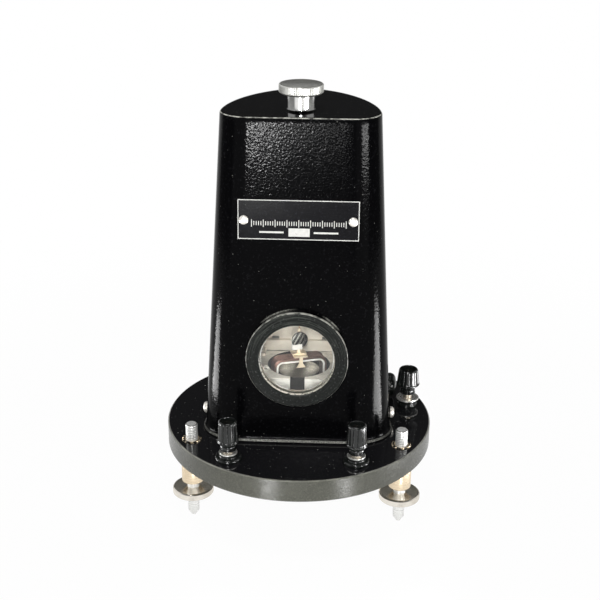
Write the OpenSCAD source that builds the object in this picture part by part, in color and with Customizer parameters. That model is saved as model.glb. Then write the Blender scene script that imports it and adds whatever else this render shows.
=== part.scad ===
// Ballistic galvanometer: suspended coil and mirror in a tapered black case
// on a round base with three levelling screws. Millimetres, +Z up, front is -Y.
// z = 0 is the surface the three screw tips rest on.

/* [Base] */
// diameter of the round base
base_d = 178; // [150:1:220]
// thickness of the round base
base_t = 15.5; // [10:0.5:25]
// height of the base's top above the resting surface
base_top = 56.5; // [45:0.5:70]
// bevel round the base's top edge
base_bevel = 0.8; // [0.2:0.1:2]
// depth of the well under the coil
well_depth = 7; // [4:0.5:9]
// radius of the well under the coil
well_r = 10; // [6:0.5:12]

/* [Levelling screws] */
// distance of a levelling screw from the base's edge
screw_edge = 10; // [8:0.5:16]
// thread diameter of a levelling screw
screw_d = 7.9; // [5:0.1:12]
// pitch of the levelling thread
screw_pitch = 1.25; // [0.75:0.25:2]
// how far a screw stands above the base
screw_up = 11.5; // [6:0.5:20]
// diameter of the knurled wheel
wheel_d = 27; // [20:0.5:35]
// thickness of the knurled wheel
wheel_t = 5; // [3:0.5:8]
// depth of the wheel's top face below the base's top
wheel_drop = 34.5; // [25:0.5:45]
// outer diameter of a brass bush below the base
bush_d = 14.6; // [11:0.1:20]
// diameter of a brass bush inside the base
bush_neck_d = 13; // [10:0.1:18]
// depth of a bush's lower end below the base's top
bush_drop = 30.5; // [20:0.5:35]
// height of a bush's lip above the base
bush_lip = 0.8; // [0.2:0.1:2]

/* [Case] */
// half width of the case at its foot
foot_half = 61.3; // [50:0.1:70]
// half width of the case at its top
top_half = 49.6; // [40:0.1:60]
// front face from the base's middle at the foot
foot_front = 40.8; // [30:0.1:50]
// front face from the base's middle at the top
top_front = 28.9; // [15:0.1:40]
// back of the case from the base's middle at the foot
foot_back = 68; // [55:0.5:70]
// back of the case from the base's middle at the top
top_back = 56.3; // [45:0.1:65]
// corner radius across the width at the foot
foot_corner_x = 26; // [10:0.5:30]
// corner radius along the depth at the foot
foot_corner_y = 22; // [10:0.5:30]
// corner radius at the top
top_corner = 18; // [8:0.5:25]
// how far forward of the base's middle the suspension hangs
hang_forward = 8; // [0:0.5:12]
// height of the case
case_h = 212.5; // [150:0.5:260]
// wall thickness of the case
case_wall = 3; // [2:0.1:5]
// thickness of the case's top
case_roof = 4; // [3:0.1:8]
// how far the foot bead stands out
bead_out = 1.6; // [0.5:0.1:3]
// height of the foot bead
bead_h = 2.4; // [1:0.1:5]

/* [Window] */
// outer diameter of the window ring
ring_d = 65; // [50:0.5:75]
// clear opening of the window
opening_d = 47.4; // [35:0.1:60]
// height of the window's centre above the base
window_z = 59.2; // [45:0.1:80]
// thickness of the ring's flange
ring_flange = 2.5; // [1.5:0.1:5]
// thickness of the glass
glass_t = 2; // [1:0.1:4]

/* [Plate] */
// width of the plate
plate_w = 74.5; // [50:0.5:90]
// height of the plate
plate_h = 25; // [15:0.5:40]
// thickness of the plate
plate_t = 0.8; // [0.4:0.1:2]
// height of the plate's centre above the base
plate_z = 149.9; // [120:0.1:180]
// distance of a plate screw from the plate's end
plate_screw_in = 3.65; // [2.5:0.05:6]
// how far the plate's screws sit below its middle
plate_screw_low = 0.4; // [0:0.1:2]

/* [Torsion head] */
// diameter of the head's grip
grip_d = 27.6; // [20:0.1:35]
// height of the head's grip
grip_h = 6.1; // [4:0.1:10]
// diameter of the polished neck
neck_d = 17.4; // [10:0.1:22]
// height of the polished neck
neck_h = 10.1; // [6:0.1:15]
// diameter of the head's spindle
spindle_d = 6; // [4:0.1:8]

/* [Moving coil] */
// angle the coil stands turned at rest
coil_turn = 18; // [-20:1:20]
// half width of the former's inside
former_in = 15.2; // [12:0.1:20]
// wall of the former
former_wall = 1.1; // [0.6:0.1:2]
// depth of the former front to back
former_deep = 9.6; // [6:0.1:14]
// lower outer edge of the former
former_low = 14; // [12:0.1:18]
// upper outer edge of the former
former_high = 46.2; // [40:0.1:52]
// diameter of one visible turn of the winding
wire_d = 1; // [0.5:0.1:1.5]
// spacing of the winding's turns
wire_pitch = 1.45; // [1:0.05:2]
// turns in each of the winding's two layers
layer_turns = 5; // [3:1:8]
// radius of the mirror
mirror_r = 5.5; // [3:0.1:8]
// height of the mirror's centre
mirror_z = 59.8; // [54:0.1:70]

/* [Magnet system] */
// radius of the soft-iron core
core_r = 13.6; // [10:0.1:16]
// bore radius of the pole pieces
bore_r = 20.5; // [18:0.1:24]
// underside of the pole pieces and the magnet
pole_low = 17.5; // [16:0.5:20]
// top of the pole pieces and the magnet
pole_high = 42; // [38:0.5:46]
// width of the slot between the pole pieces
pole_slot = 9.3; // [6:0.1:14]
// inner radius of the horseshoe magnet
magnet_in = 34; // [30:0.5:40]
// outer radius of the horseshoe magnet
magnet_out = 49; // [42:0.5:52]
// how far the magnet's round back is centred behind the suspension
magnet_back = 6; // [0:0.5:12]
// how far the magnet's legs reach in front of the suspension
magnet_front = 20; // [15:0.5:24]
// how far the pole pieces reach in front of the suspension
pole_front = 23.5; // [21:0.5:25]
// how far the pole pieces reach behind the suspension
pole_back = 19.5; // [15:0.5:20.5]
// half width of the bridge
bridge_half = 31; // [29:0.5:33]
// thickness of the bridge
bridge_t = 3.4; // [2:0.1:5]
// height of the bridge above the pole pieces
bridge_h = 7.5; // [6:0.5:14]
// distance of a bridge screw from the middle
bridge_screw_x = 27; // [24:0.5:29]
// half width of the plate behind the coil
back_half = 32; // [28:0.5:34]
// height of the plate behind the coil
back_h = 28; // [20:0.5:35]
// thickness of the plate behind the coil
back_t = 1.2; // [0.8:0.1:2]
// distance of a notch from the middle
notch_x = 17; // [12:0.5:22]
// width of a notch
notch_w = 5; // [3:0.5:8]
// height of a notch
notch_h = 4.5; // [3:0.5:8]
// radius of a pillar under the magnet
pillar_r = 5; // [4:0.5:7]

/* [Terminals] */
// distance of the left terminal from the base's edge
post_edge_left = 12.5; // [10:0.1:20]
// distance of the right terminal from the base's edge
post_edge_right = 14.2; // [10:0.1:20]
// distance of the rear terminal from the base's edge
post_edge_rear = 12.3; // [10:0.1:20]
// direction of the left terminal from the base's middle
post_turn_left = -123.4; // [-140:0.1:-110]
// direction of the right terminal from the base's middle
post_turn_right = -58.5; // [-70:0.1:-45]
// direction of the rear terminal from the base's middle
post_turn_rear = 14.3; // [0:0.1:30]
// diameter of a front cap at its lower end
cap_low_d = 13.8; // [10:0.1:18]
// diameter of a front cap at its top
cap_top_d = 11.8; // [9:0.1:16]
// height of a front cap's fluted part
cap_h = 15; // [10:0.5:20]
// diameter of the rear cap at its lower end
rear_cap_low_d = 15.9; // [12:0.1:20]
// diameter of the rear cap at its top
rear_cap_top_d = 13.2; // [10:0.1:18]
// height of the rear cap's fluted part
rear_cap_h = 12; // [8:0.5:18]
// bore of a plug socket
socket_bore = 4.1; // [3.5:0.05:5]
// diameter of a terminal's stem
stem_d = 6; // [5:0.1:8]

/* [Arrest] */
// diameter of the arrest knob
arrest_d = 16; // [10:0.5:18]
// throw of the arrest's crank pin
crank_throw = 1.2; // [0.6:0.1:2]

/* [Fits] */
// radial clearance of a running fit
run_gap = 0.05; // [0.02:0.01:0.1]
// radial clearance of a fixed fit
seat_gap = 0.03; // [0.01:0.01:0.1]

/* [Hidden] */
$fn = 64;
base_r = base_d / 2;
plate_screw_x = plate_w / 2 - plate_screw_in;
marks_half = plate_screw_x - 4.6;
screw_circle = base_r - screw_edge;
// the rear wheel reaches past the base, so the axis stands this far forward
axis_y = -(screw_circle + wheel_d / 2 - base_r) / 2;
screw_angles = [-150, -30, 90];
case_slope = atan((foot_front - top_front) / case_h);
ring_back = foot_front - (foot_front - top_front) * (window_z - ring_d / 2) / case_h;
ring_front = ring_back + ring_flange;
// the window's seat starts this far in front of the base's middle
seat_front = 34;
lip_t = 2.2;
gasket_t = 0.6;
retainer_t = 1.4;
spigot_r = 30;
glass_r = 27;
back_power = 1.75;
crank_angle = 36;
crank_y = 31;
crank_z = 9.5;
function spot(edge, turn) = (base_r - edge) * [cos(turn), sin(turn)];
post_spots = [
  spot(post_edge_left, post_turn_left), spot(post_edge_right, post_turn_right),
  spot(post_edge_rear, post_turn_rear)
];
side_screw_y = -8;
side_screw_z = 7.5;
side_boss_x = 61.7;
eps = 0.01;

function half_at(z) = foot_half + (top_half - foot_half) * z / case_h;
function front_at(z) = -foot_front + (foot_front - top_front) * z / case_h;
function back_at(z) = foot_back + (top_back - foot_back) * z / case_h;
function corner_x_at(z) = foot_corner_x + (top_corner - foot_corner_x) * z / case_h;
function corner_y_at(z) = foot_corner_y + (top_corner - foot_corner_y) * z / case_h;

// one half of the case's outline: flat front, round corner, deep curved back
function half_outline(w, f, b, cx, cy) = concat(
  [[w - cx, f]],
  [for (i = [1:6]) [w - cx + cx * sin(i * 15), f + cy - cy * cos(i * 15)]],
  [for (i = [1:14]) let (t = i * 90 / 15)
    [w * pow(cos(t), 2 / back_power), f + cy + (b - f - cy) * pow(sin(t), 2 / back_power)]],
  [[0, b]]
);
function mirror_back(p) = [for (i = [len(p) - 2:-1:0]) [-p[i][0], p[i][1]]];
function outline(z, inset) = let (
  h = half_outline(
    half_at(z) - inset, front_at(z) + inset, back_at(z) - inset,
    corner_x_at(z) - inset, corner_y_at(z) - inset
  )
) concat(h, mirror_back(h));

// everything is drawn from the middle of the base's top face
module seat() {
  translate([0, axis_y, base_top]) children();
}

// the suspension's own axis
module column() {
  seat() translate([0, -hang_forward, 0]) children();
}

module slice(z, inset) {
  translate([0, 0, z]) linear_extrude(eps) polygon(outline(z, inset));
}

module ring(r_out, r_in, h) {
  difference() {
    cylinder(r = r_out, h = h);
    translate([0, 0, -1]) cylinder(r = r_in, h = h + 2);
  }
}

// a straight-knurled wheel: fine teeth round a plain disc
module knurled(r, h, teeth, deep) {
  linear_extrude(h) polygon([
    for (i = [0:2 * teeth - 1])
      let (a = i * 180 / teeth, q = r - deep * (i % 2)) [q * cos(a), q * sin(a)]
  ]);
}

// profile of a threaded rod from z0 to z1, grooves cut at each pitch
function thread_side(r, z0, z1, pitch, deep) = [
  for (i = [0:floor((z1 - z0) / pitch) - 1]) for (k = [0:1])
    k == 0 ? [r, z0 + i * pitch] : [r - deep, z0 + (i + 0.5) * pitch]
];

module at_screw(i) {
  a = screw_angles[i];
  translate([screw_circle * cos(a), screw_circle * sin(a), 0]) children();
}

module base_plate() {
  color([0.03, 0.03, 0.03]) seat() difference() {
    rotate_extrude() polygon([
      [0, -base_t], [base_r - 1, -base_t], [base_r, -base_t + 1],
      [base_r, -base_bevel], [base_r - base_bevel, 0], [0, 0]
    ]);
    for (i = [0:2]) {
      at_screw(i) translate([0, 0, -base_t - 1]) {
        cylinder(r = bush_neck_d / 2 + seat_gap, h = base_t + 2);
      }
    }
    for (p = post_spots) {
      translate([p[0], p[1], -base_t - 1]) cylinder(r = 4.5 + seat_gap, h = base_t + 2);
      translate([p[0], p[1], -base_t - 1]) cylinder(r = post_bore_r, h = post_bore_deep + 1);
    }
    translate([0, -hang_forward, 0]) {
      translate([0, 0, -well_depth]) cylinder(r = well_r, h = well_depth + 1);
      translate([0, 0, -base_t - 1]) cylinder(r = 3.5 + seat_gap, h = base_t);
      translate([0, 0, -base_t - 1]) cylinder(r = 7.5, h = 6);
    }
    for (p = pillar_spots) {
      translate([p[0], p[1], -base_t - 1]) cylinder(r = 2.1, h = base_t + 2);
      translate([p[0], p[1], -base_t - 1]) cylinder(r = 4.1, h = 5);
    }
    for (s = [-1, 1]) {
      translate([s * bracket_x, side_screw_y, -base_t - 1]) cylinder(r = 2.1, h = base_t + 2);
      translate([s * bracket_x, side_screw_y, -base_t - 1]) cylinder(r = 4.1, h = 5);
      translate([s * guide_x, guide_y, -6]) cylinder(r = 1.5 + seat_gap, h = 7);
    }
    for (p = post_spots) wire_channel(p);
  }
}

// channel under the base from a terminal to the middle
module wire_channel(p) {
  q = p + [0, hang_forward];
  translate([0, -hang_forward, 0]) rotate([0, 0, atan2(q[1], q[0])]) {
    translate([0, -3, -base_t - 1]) cube([norm(q), 6, 5]);
  }
}

module levelling_bushes() {
  color([0.80, 0.62, 0.30]) seat() for (i = [0:2]) at_screw(i) rotate_extrude() polygon([
    [screw_d / 2 + run_gap, -bush_drop], [bush_d / 2 - 0.5, -bush_drop],
    [bush_d / 2, -bush_drop + 0.5], [bush_d / 2, -base_t], [bush_neck_d / 2, -base_t],
    [bush_neck_d / 2, bush_lip - 0.3], [bush_neck_d / 2 - 0.3, bush_lip],
    [screw_d / 2 + run_gap, bush_lip]
  ]);
}

// threaded above the wheel, plain below it, ending in a blunt point
module levelling_screw(i) {
  r = screw_d / 2;
  low = -base_top;
  seat() at_screw(i) rotate_extrude() polygon(concat(
    [[0, low], [1.2, low], [r - 0.25, low + 3.6], [r - 0.25, -wheel_drop - wheel_t - 0.6],
      [r, -wheel_drop - wheel_t - 0.6], [r, -base_t]],
    [[r, -2.5]],
    thread_side(r, -2.5, screw_up - 1, screw_pitch, 0.6),
    [[r - 0.7, screw_up], [0, screw_up]]
  ));
}

module screw_left() {
  color([0.78, 0.78, 0.76]) levelling_screw(0);
}

module screw_right() {
  color([0.78, 0.78, 0.76]) levelling_screw(1);
}

module screw_rear() {
  color([0.78, 0.78, 0.76]) levelling_screw(2);
}

module levelling_wheel(i) {
  seat() at_screw(i) translate([0, 0, -wheel_drop - wheel_t]) difference() {
    union() {
      translate([0, 0, 0.5]) knurled(wheel_d / 2, wheel_t - 1, 48, 0.35);
      cylinder(r = wheel_d / 2 - 0.8, h = wheel_t);
    }
    translate([0, 0, -1]) cylinder(r = screw_d / 2 + run_gap, h = wheel_t + 2);
  }
}

module wheel_left() {
  color([0.72, 0.71, 0.68]) levelling_wheel(0);
}

module wheel_right() {
  color([0.72, 0.71, 0.68]) levelling_wheel(1);
}

module wheel_rear() {
  color([0.72, 0.71, 0.68]) levelling_wheel(2);
}

// Case and what is fixed to it

module casing() {
  color([0.05, 0.05, 0.055]) seat() difference() {
    union() {
      hull() {
        slice(0, 0);
        slice(case_h - eps, 0);
      }
      hull() {
        slice(0, -bead_out);
        slice(bead_h, -0.3);
      }
      window_axis() cylinder(r = ring_d / 2 - 0.2, h = ring_back - seat_front);
      for (s = [-1, 1]) {
        translate([s * 55, side_screw_y, side_screw_z]) rotate([0, s * 90, 0]) {
          cylinder(r = 4.6, h = side_boss_x - 55);
        }
      }
      translate([42.5, crank_y, crank_z]) rotate([0, 90, 0]) cylinder(r = 6.5, h = 12.5);
    }
    hull() {
      slice(-1, case_wall);
      slice(case_h - case_roof, case_wall);
    }
    window_axis() translate([0, 0, -20]) cylinder(r = spigot_r + seat_gap, h = 60);
    for (s = [-1, 1]) {
      translate([s * 50, side_screw_y, side_screw_z]) rotate([0, s * 90, 0]) {
        cylinder(r = 2, h = 20);
      }
    }
    translate([0, -hang_forward, case_h - 10]) cylinder(r = 6 + seat_gap, h = 12);
    translate([40, crank_y, crank_z]) rotate([0, 90, 0]) cylinder(r = 2.5 + run_gap, h = 20);
    for (s = [-1, 1]) on_face(s * plate_screw_x, plate_z - plate_screw_low) {
      translate([0, 0, -case_wall * 2]) cylinder(r = 1.25, h = case_wall * 2 + 2);
    }
  }
}

// window axis: local z runs forward from the back of the window's seat
module window_axis() {
  translate([0, -seat_front, window_z]) rotate([90, 0, 0]) children();
}

// local z points out of the sloping front face
module on_face(x, z) {
  translate([x, front_at(z), z]) rotate([90 - case_slope, 0, 0]) children();
}

module window_bezel() {
  flange_z = ring_back - seat_front;
  face_z = ring_front - seat_front;
  color([0.04, 0.04, 0.045]) seat() window_axis() rotate_extrude() polygon([
    [opening_d / 2 + 0.5, face_z], [ring_d / 2 - 0.5, face_z], [ring_d / 2, face_z - 0.5],
    [ring_d / 2, flange_z], [spigot_r, flange_z], [spigot_r, 0],
    [glass_r + seat_gap, 0], [glass_r + seat_gap, face_z - lip_t],
    [opening_d / 2, face_z - lip_t], [opening_d / 2, face_z - 0.5]
  ]);
}

gasket_z = ring_front - seat_front - lip_t - gasket_t;

module window_gasket() {
  color([0.12, 0.10, 0.09]) seat() window_axis() translate([0, 0, gasket_z]) {
    ring(glass_r, opening_d / 2 + 0.6, gasket_t);
  }
}

module window_glass() {
  color([0.8, 0.9, 0.9, 0.35]) seat() window_axis() translate([0, 0, gasket_z - glass_t]) {
    cylinder(r = glass_r, h = glass_t);
  }
}

module glass_retainer() {
  color([0.75, 0.72, 0.62]) seat() window_axis() {
    translate([0, 0, gasket_z - glass_t - retainer_t]) {
      ring(glass_r, opening_d / 2 - 0.6, retainer_t);
    }
  }
}

module nameplate() {
  color([0.02, 0.02, 0.02]) seat() on_face(0, plate_z) translate([0, 0, 0.03]) difference() {
    translate([-plate_w / 2, -plate_h / 2, 0]) cube([plate_w, plate_h, plate_t]);
    for (s = [-1, 1]) translate([s * plate_screw_x, -plate_screw_low, -1]) {
      cylinder(r = 1.6, h = plate_t + 2);
    }
  }
}

// white border, plain graduations, an empty value panel with a rule each side
module nameplate_marks() {
  color([0.93, 0.93, 0.90]) seat() on_face(0, plate_z) translate([0, 0, plate_t + 0.03]) {
    linear_extrude(0.12) difference() {
      square([plate_w, plate_h], center = true);
      square([plate_w - 1, plate_h - 1], center = true);
    }
    linear_extrude(0.12) for (i = [0:40]) {
      translate([marks_half * (i / 20 - 1), i % 5 == 0 ? -4.6 : -3.6]) {
        square([0.5, i % 5 == 0 ? 4.6 : 2.6]);
      }
    }
    linear_extrude(0.12) translate([-6, -10.4]) square([13, 5.2]);
    linear_extrude(0.12) for (x = [-24, 9.5]) translate([x, -8.4]) square([15, 1.1]);
  }
}

module round_head(r, h, shank_r, shank_l) {
  translate([0, 0, -shank_l]) cylinder(r = shank_r, h = shank_l + 0.1);
  difference() {
    rotate_extrude() polygon([
      [0, 0], [r, 0], [r, h * 0.25], [r * 0.92, h * 0.55],
      [r * 0.72, h * 0.82], [r * 0.4, h * 0.96], [0, h]
    ]);
    translate([-r - 1, -0.4, h * 0.55]) cube([2 * r + 2, 0.8, h]);
  }
}

module nameplate_screws() {
  color([0.85, 0.83, 0.78]) seat() for (s = [-1, 1]) {
    on_face(s * plate_screw_x, plate_z - plate_screw_low) 
    translate([0, 0, plate_t + 0.06]) {
      round_head(2.9, 1.7, 1.2, 5);
    }
  }
}

module side_screws() {
  color([0.82, 0.80, 0.76]) seat() for (s = [-1, 1]) {
    translate([s * (side_boss_x + 0.03), side_screw_y, side_screw_z]) rotate([0, s * 90, 0]) {
      round_head(3.8, 2.8, 1.9, 11);
    }
  }
}

bracket_x = 51;
bracket_in = 46;
bracket_out = 54.6;
bracket_h = 14;

module casing_brackets() {
  color([0.35, 0.35, 0.36]) seat() for (s = [-1, 1]) difference() {
    translate([s > 0 ? bracket_in : -bracket_out, side_screw_y - 8, 0]) {
      cube([bracket_out - bracket_in, 16, bracket_h]);
    }
    translate([s * 40, side_screw_y, side_screw_z]) rotate([0, s * 90, 0]) {
      cylinder(r = 1.9 + seat_gap, h = 20);
    }
    translate([s * bracket_x, side_screw_y, -1]) cylinder(r = 1.9 + seat_gap, h = 6);
  }
}

magnet_mid = (magnet_in + magnet_out) / 2;
pillar_spots = [
  [-magnet_mid, 8 - magnet_front - hang_forward], [magnet_mid, 8 - magnet_front - hang_forward],
  [0, magnet_mid + magnet_back - hang_forward]
];

module base_screws() {
  color([0.6, 0.6, 0.58]) seat() {
    for (p = concat(pillar_spots, [[-bracket_x, side_screw_y], [bracket_x, side_screw_y]])) {
      translate([p[0], p[1], -base_t + 0.6]) cylinder(r = 3.9, h = 3.4);
      translate([p[0], p[1], -base_t + 3]) cylinder(r = 1.9, h = 16);
    }
  }
}

// Torsion head

module head_bush() {
  color([0.80, 0.80, 0.78]) column() translate([0, 0, case_h]) difference() {
    rotate_extrude() polygon([
      [spindle_d / 2 + run_gap, -12], [6, -12], [6, 0], [neck_d / 2, 0], [neck_d / 2, neck_h],
      [spindle_d / 2 + run_gap, neck_h]
    ]);
    translate([-0.5, -neck_d / 2 - 1, -1]) cube([1, 2, 2.2]);
  }
}

module head_nut() {
  color([0.78, 0.62, 0.32]) column() translate([0, 0, case_h - case_roof - 4]) difference() {
    cylinder(r = 10.5, h = 4, $fn = 6);
    translate([0, 0, -1]) cylinder(r = 6 + seat_gap, h = 6);
  }
}

module torsion_knob() {
  r = grip_d / 2;
  color([0.75, 0.75, 0.73]) column() translate([0, 0, case_h + neck_h + 0.2]) difference() {
    union() {
      translate([0, 0, 1.7]) knurled(r, grip_h - 2.3, 60, 0.35);
      rotate_extrude() polygon([
        [0, 0], [r - 2, 0], [r - 0.4, 1.7], [r - 0.4, grip_h - 0.6], [r - 1, grip_h], [0, grip_h]
      ]);
    }
    translate([0, 0, -1]) cylinder(r = spindle_d / 2 + seat_gap, h = grip_h - 1);
  }
}

module head_spindle() {
  z0 = case_h - 18;
  color([0.78, 0.62, 0.32]) column() {
    translate([0, 0, z0]) cylinder(r = spindle_d / 2, h = neck_h + grip_h - 3 + 18);
    translate([0, 0, z0 - 3]) cylinder(r = 1.2, h = 3.1);
    translate([-0.4, -1.2, z0 - 6]) cube([0.8, 2.4, 3.1]);
  }
}

module head_collar() {
  color([0.70, 0.70, 0.68]) column() translate([0, 0, case_h - 15.5]) {
    ring(5, spindle_d / 2 + seat_gap, 3);
  }
}

// Suspended system, built turned by coil_turn

module hung() {
  column() rotate([0, 0, coil_turn]) children();
}

strip_low = mirror_z + mirror_r + 2.5;

module suspension_strip() {
  color([0.72, 0.45, 0.20]) hung() {
    translate([-0.3, -0.1, strip_low]) cube([0.6, 0.2, case_h - 24.4 - strip_low]);
  }
}

module mirror_stem() {
  color([0.83, 0.66, 0.34]) hung() {
    translate([0, 0, top_clip_z + 1.5]) cylinder(r = 1.5, h = mirror_z - mirror_r - top_clip_z - 1.5);
    translate([-1, 0.2, mirror_z - mirror_r - 0.1]) cube([2, 0.8, 2 * mirror_r + 1.1]);
    translate([0, 0, mirror_z + mirror_r + 0.9]) cylinder(r = 1, h = 1.6);
  }
}

module mirror() {
  color([0.75, 0.80, 0.82]) hung() translate([0, -0.9, mirror_z]) rotate([90, 0, 0]) {
    cylinder(r = mirror_r, h = 1);
  }
}

module mirror_holder() {
  color([0.88, 0.88, 0.86]) hung() difference() {
    translate([-5.2, -2.6, mirror_z - mirror_r - 0.9]) cube([6.6, 2.7, 3.4]);
    translate([0, 1, mirror_z]) rotate([90, 0, 0]) {
      translate([0, 0, 1.87]) cylinder(r = mirror_r + 0.03, h = 1.06);
    }
    translate([0, 0, mirror_z - mirror_r - 2]) cylinder(r = 1.5 + seat_gap, h = 2.1);
  }
}

top_clip_z = former_high + 2.6;

module coil_clip_top() {
  color([0.83, 0.66, 0.34]) hung() {
    translate([-4.6, -2, top_clip_z]) cube([9.2, 4, 1.5]);
    translate([-4.6, -former_deep / 2 - 1, top_clip_z]) cube([9.2, former_deep + 2, 0.6]);
    translate([0, -former_deep / 2 - 0.2, 0]) rotate([90, 0, 0]) linear_extrude(0.7) polygon([
      [-1.2, top_clip_z + 0.5], [-1.2, former_high - 1.5], [-3.1, former_high - 4.6],
      [3.1, former_high - 4.6], [1.2, former_high - 1.5], [1.2, top_clip_z + 0.5]
    ]);
  }
}

module frame_shape(w, z0, z1, r) {
  translate([-w + r, z0]) square([2 * (w - r), z1 - z0]);
  translate([-w, z0 + r]) square([2 * w, z1 - z0 - 2 * r]);
  for (x = [-w + r, w - r]) for (z = [z0 + r, z1 - r]) translate([x, z]) circle(r = r);
}

module frame_band(out, in, deep) {
  w = former_in + former_wall;
  translate([0, deep / 2, 0]) rotate([90, 0, 0]) linear_extrude(deep) difference() {
    frame_shape(w + out, former_low - out, former_high + out, 4 + out);
    frame_shape(w - in, former_low + in, former_high - in, 4 - in);
  }
}

module coil_former() {
  color([0.88, 0.88, 0.86]) hung() {
    frame_band(0, former_wall, former_deep);
    for (s = [-1, 1]) translate([0, s * (former_deep / 2 - 0.25), 0]) frame_band(1, 0.2, 0.5);
  }
}

// the winding: one wire led round the former, out along one layer and back
loop_rings = 24;
first_r = 4 + wire_d / 2 + 0.05;
// a point on the rounded frame, u from 0 to 24 round one turn
function loop_point(u, grow) = let (
  k = floor(u / 6), m = u - 6 * k, r = first_r + grow,
  cx = former_in + former_wall - 4, cz = (former_high - former_low) / 2 - 4,
  zc = (former_high + former_low) / 2,
  a = k * 90 + (m > 4 ? 90 : m * 22.5),
  n = (k + 1) % 4,
  sx = (k == 0 || k == 3) ? 1 : -1, sz = (k < 2) ? 1 : -1,
  nx = (n == 0 || n == 3) ? 1 : -1, nz = (n < 2) ? 1 : -1,
  p = [sx * cx + r * cos(a), zc + sz * cz + r * sin(a)],
  q = [nx * cx + r * cos(a), zc + nz * cz + r * sin(a)],
  f = m > 4 ? (m - 4) / 2 : 0
) p * (1 - f) + q * f;
total_turns = 2 * layer_turns;
function wind_y(t) = let (span = layer_turns * wire_pitch)
  t <= layer_turns ? -span / 2 + t * wire_pitch :
  t <= layer_turns + 0.25 ? span / 2 :
  span / 2 - (t - layer_turns - 0.25) * wire_pitch;
function wind_grow(t) = t <= layer_turns ? 0 :
  t <= layer_turns + 0.25 ? (t - layer_turns) * 4 * wire_pitch : wire_pitch;
function wind_point(i) = let (
  t = i / loop_rings, q = loop_point(i % loop_rings, wind_grow(t))
) [q[0], wind_y(t), q[1]];
wind_path = [for (i = [0:loop_rings * total_turns - 7]) wind_point(i)];

// least distance between centre lines of stretches more than `skip` rings apart
function least_gap(p, skip) = min([
  for (i = [0:len(p) - 1 - skip]) for (j = [i + skip:len(p) - 1]) norm(p[i] - p[j])
]);
echo(winding_gap = least_gap(wind_path, 12) - wire_d);

function unit(v) = v / norm(v);
function path_dir(p, i) = unit(p[min(i + 1, len(p) - 1)] - p[max(i - 1, 0)]);

// a tube along a path, rings kept square to it with one fixed reference
module tube(p, d, ref) {
  n = 6;
  rings = [for (i = [0:len(p) - 1]) let (
    t = path_dir(p, i), u = unit(cross(t, ref)), v = cross(u, t)
  ) for (k = [0:n - 1]) p[i] + d / 2 * (cos(k * 60) * u + sin(k * 60) * v)];
  last = (len(p) - 1) * n;
  polyhedron(rings, concat(
    [for (i = [0:len(p) - 2]) for (k = [0:n - 1]) let (
      a = i * n + k, b = i * n + (k + 1) % n
    ) [a, b, b + n]],
    [for (i = [0:len(p) - 2]) for (k = [0:n - 1]) let (
      a = i * n + k, b = i * n + (k + 1) % n
    ) [a, b + n, a + n]],
    [for (k = [1:n - 2]) [0, k + 1, k]],
    [for (k = [1:n - 2]) [last, last + k, last + k + 1]]
  ));
}

module coil_winding() {
  color([0.72, 0.40, 0.24]) hung() tube(wind_path, wire_d, [0, 1, 0]);
}

wind_low = former_low - 2 * wire_d - 0.5;

module coil_clip_bottom() {
  color([0.83, 0.66, 0.34]) hung() {
    translate([-3, -former_deep / 2 - 0.9, wind_low - 1]) cube([6, former_deep + 1.8, 0.8]);
    translate([0, 0, wind_low - 3]) cylinder(r = 0.8, h = 2.2);
  }
}

// fine helix under the coil that brings the current to its lower end
spring_r = 2;
spring_wire = 0.5;
spring_curls = 6;
spring_low = -well_depth + 2.4;
spring_high = wind_low - 3.4;
spring_path = concat(
  [[spring_r, 0, spring_low - 1.1], [spring_r, 0, spring_low - 0.6]],
  [for (i = [0:8 * spring_curls]) [
    spring_r * cos(i * 45), spring_r * sin(i * 45),
    spring_low + (spring_high - spring_low - 1) * i / (8 * spring_curls)
  ]],
  [[spring_r, 0.2, spring_high - 0.4], [spring_r, 0.2, spring_high + 0.1]]
);
echo(spring_gap = least_gap(spring_path, 5) - spring_wire);

module ligament_spring() {
  color([0.78, 0.50, 0.22]) column() tube(spring_path, spring_wire, [0.02, 0.01, 1]);
}

module ligament_anchor() {
  color([0.80, 0.62, 0.30]) column() {
    translate([0, 0, -base_t + 0.8]) cylinder(r = 1.5, h = base_t - 0.8 - well_depth + 0.2);
    translate([0, 0, -well_depth + 0.1]) cylinder(r = 2.8, h = 1.1);
    translate([0, 0, -base_t + 1.5]) cylinder(r = 3.2, h = 2.4, $fn = 6);
  }
}

module anchor_insulator() {
  color([0.35, 0.18, 0.10]) column() translate([0, 0, -base_t + 4]) {
    ring(3.5, 1.5 + seat_gap, base_t - 4 - well_depth);
  }
}

// Magnet system

module magnet() {
  zc = pole_high - pole_low;
  color([0.52, 0.50, 0.46]) column() translate([0, 0, pole_low]) {
    difference() {
      translate([0, magnet_back, 0]) cylinder(r = magnet_out, h = zc);
      translate([0, magnet_back, -1]) cylinder(r = magnet_in, h = zc + 2);
      translate([-magnet_out - 10, magnet_back - magnet_out - 10, -1]) {
        cube([2 * magnet_out + 20, magnet_out + 10, zc + 2]);
      }
    }
    for (s = [-1, 1]) {
      translate([s > 0 ? magnet_in : -magnet_out, -magnet_front, 0]) {
        cube([magnet_out - magnet_in, magnet_front + magnet_back, zc]);
      }
    }
  }
}

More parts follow.
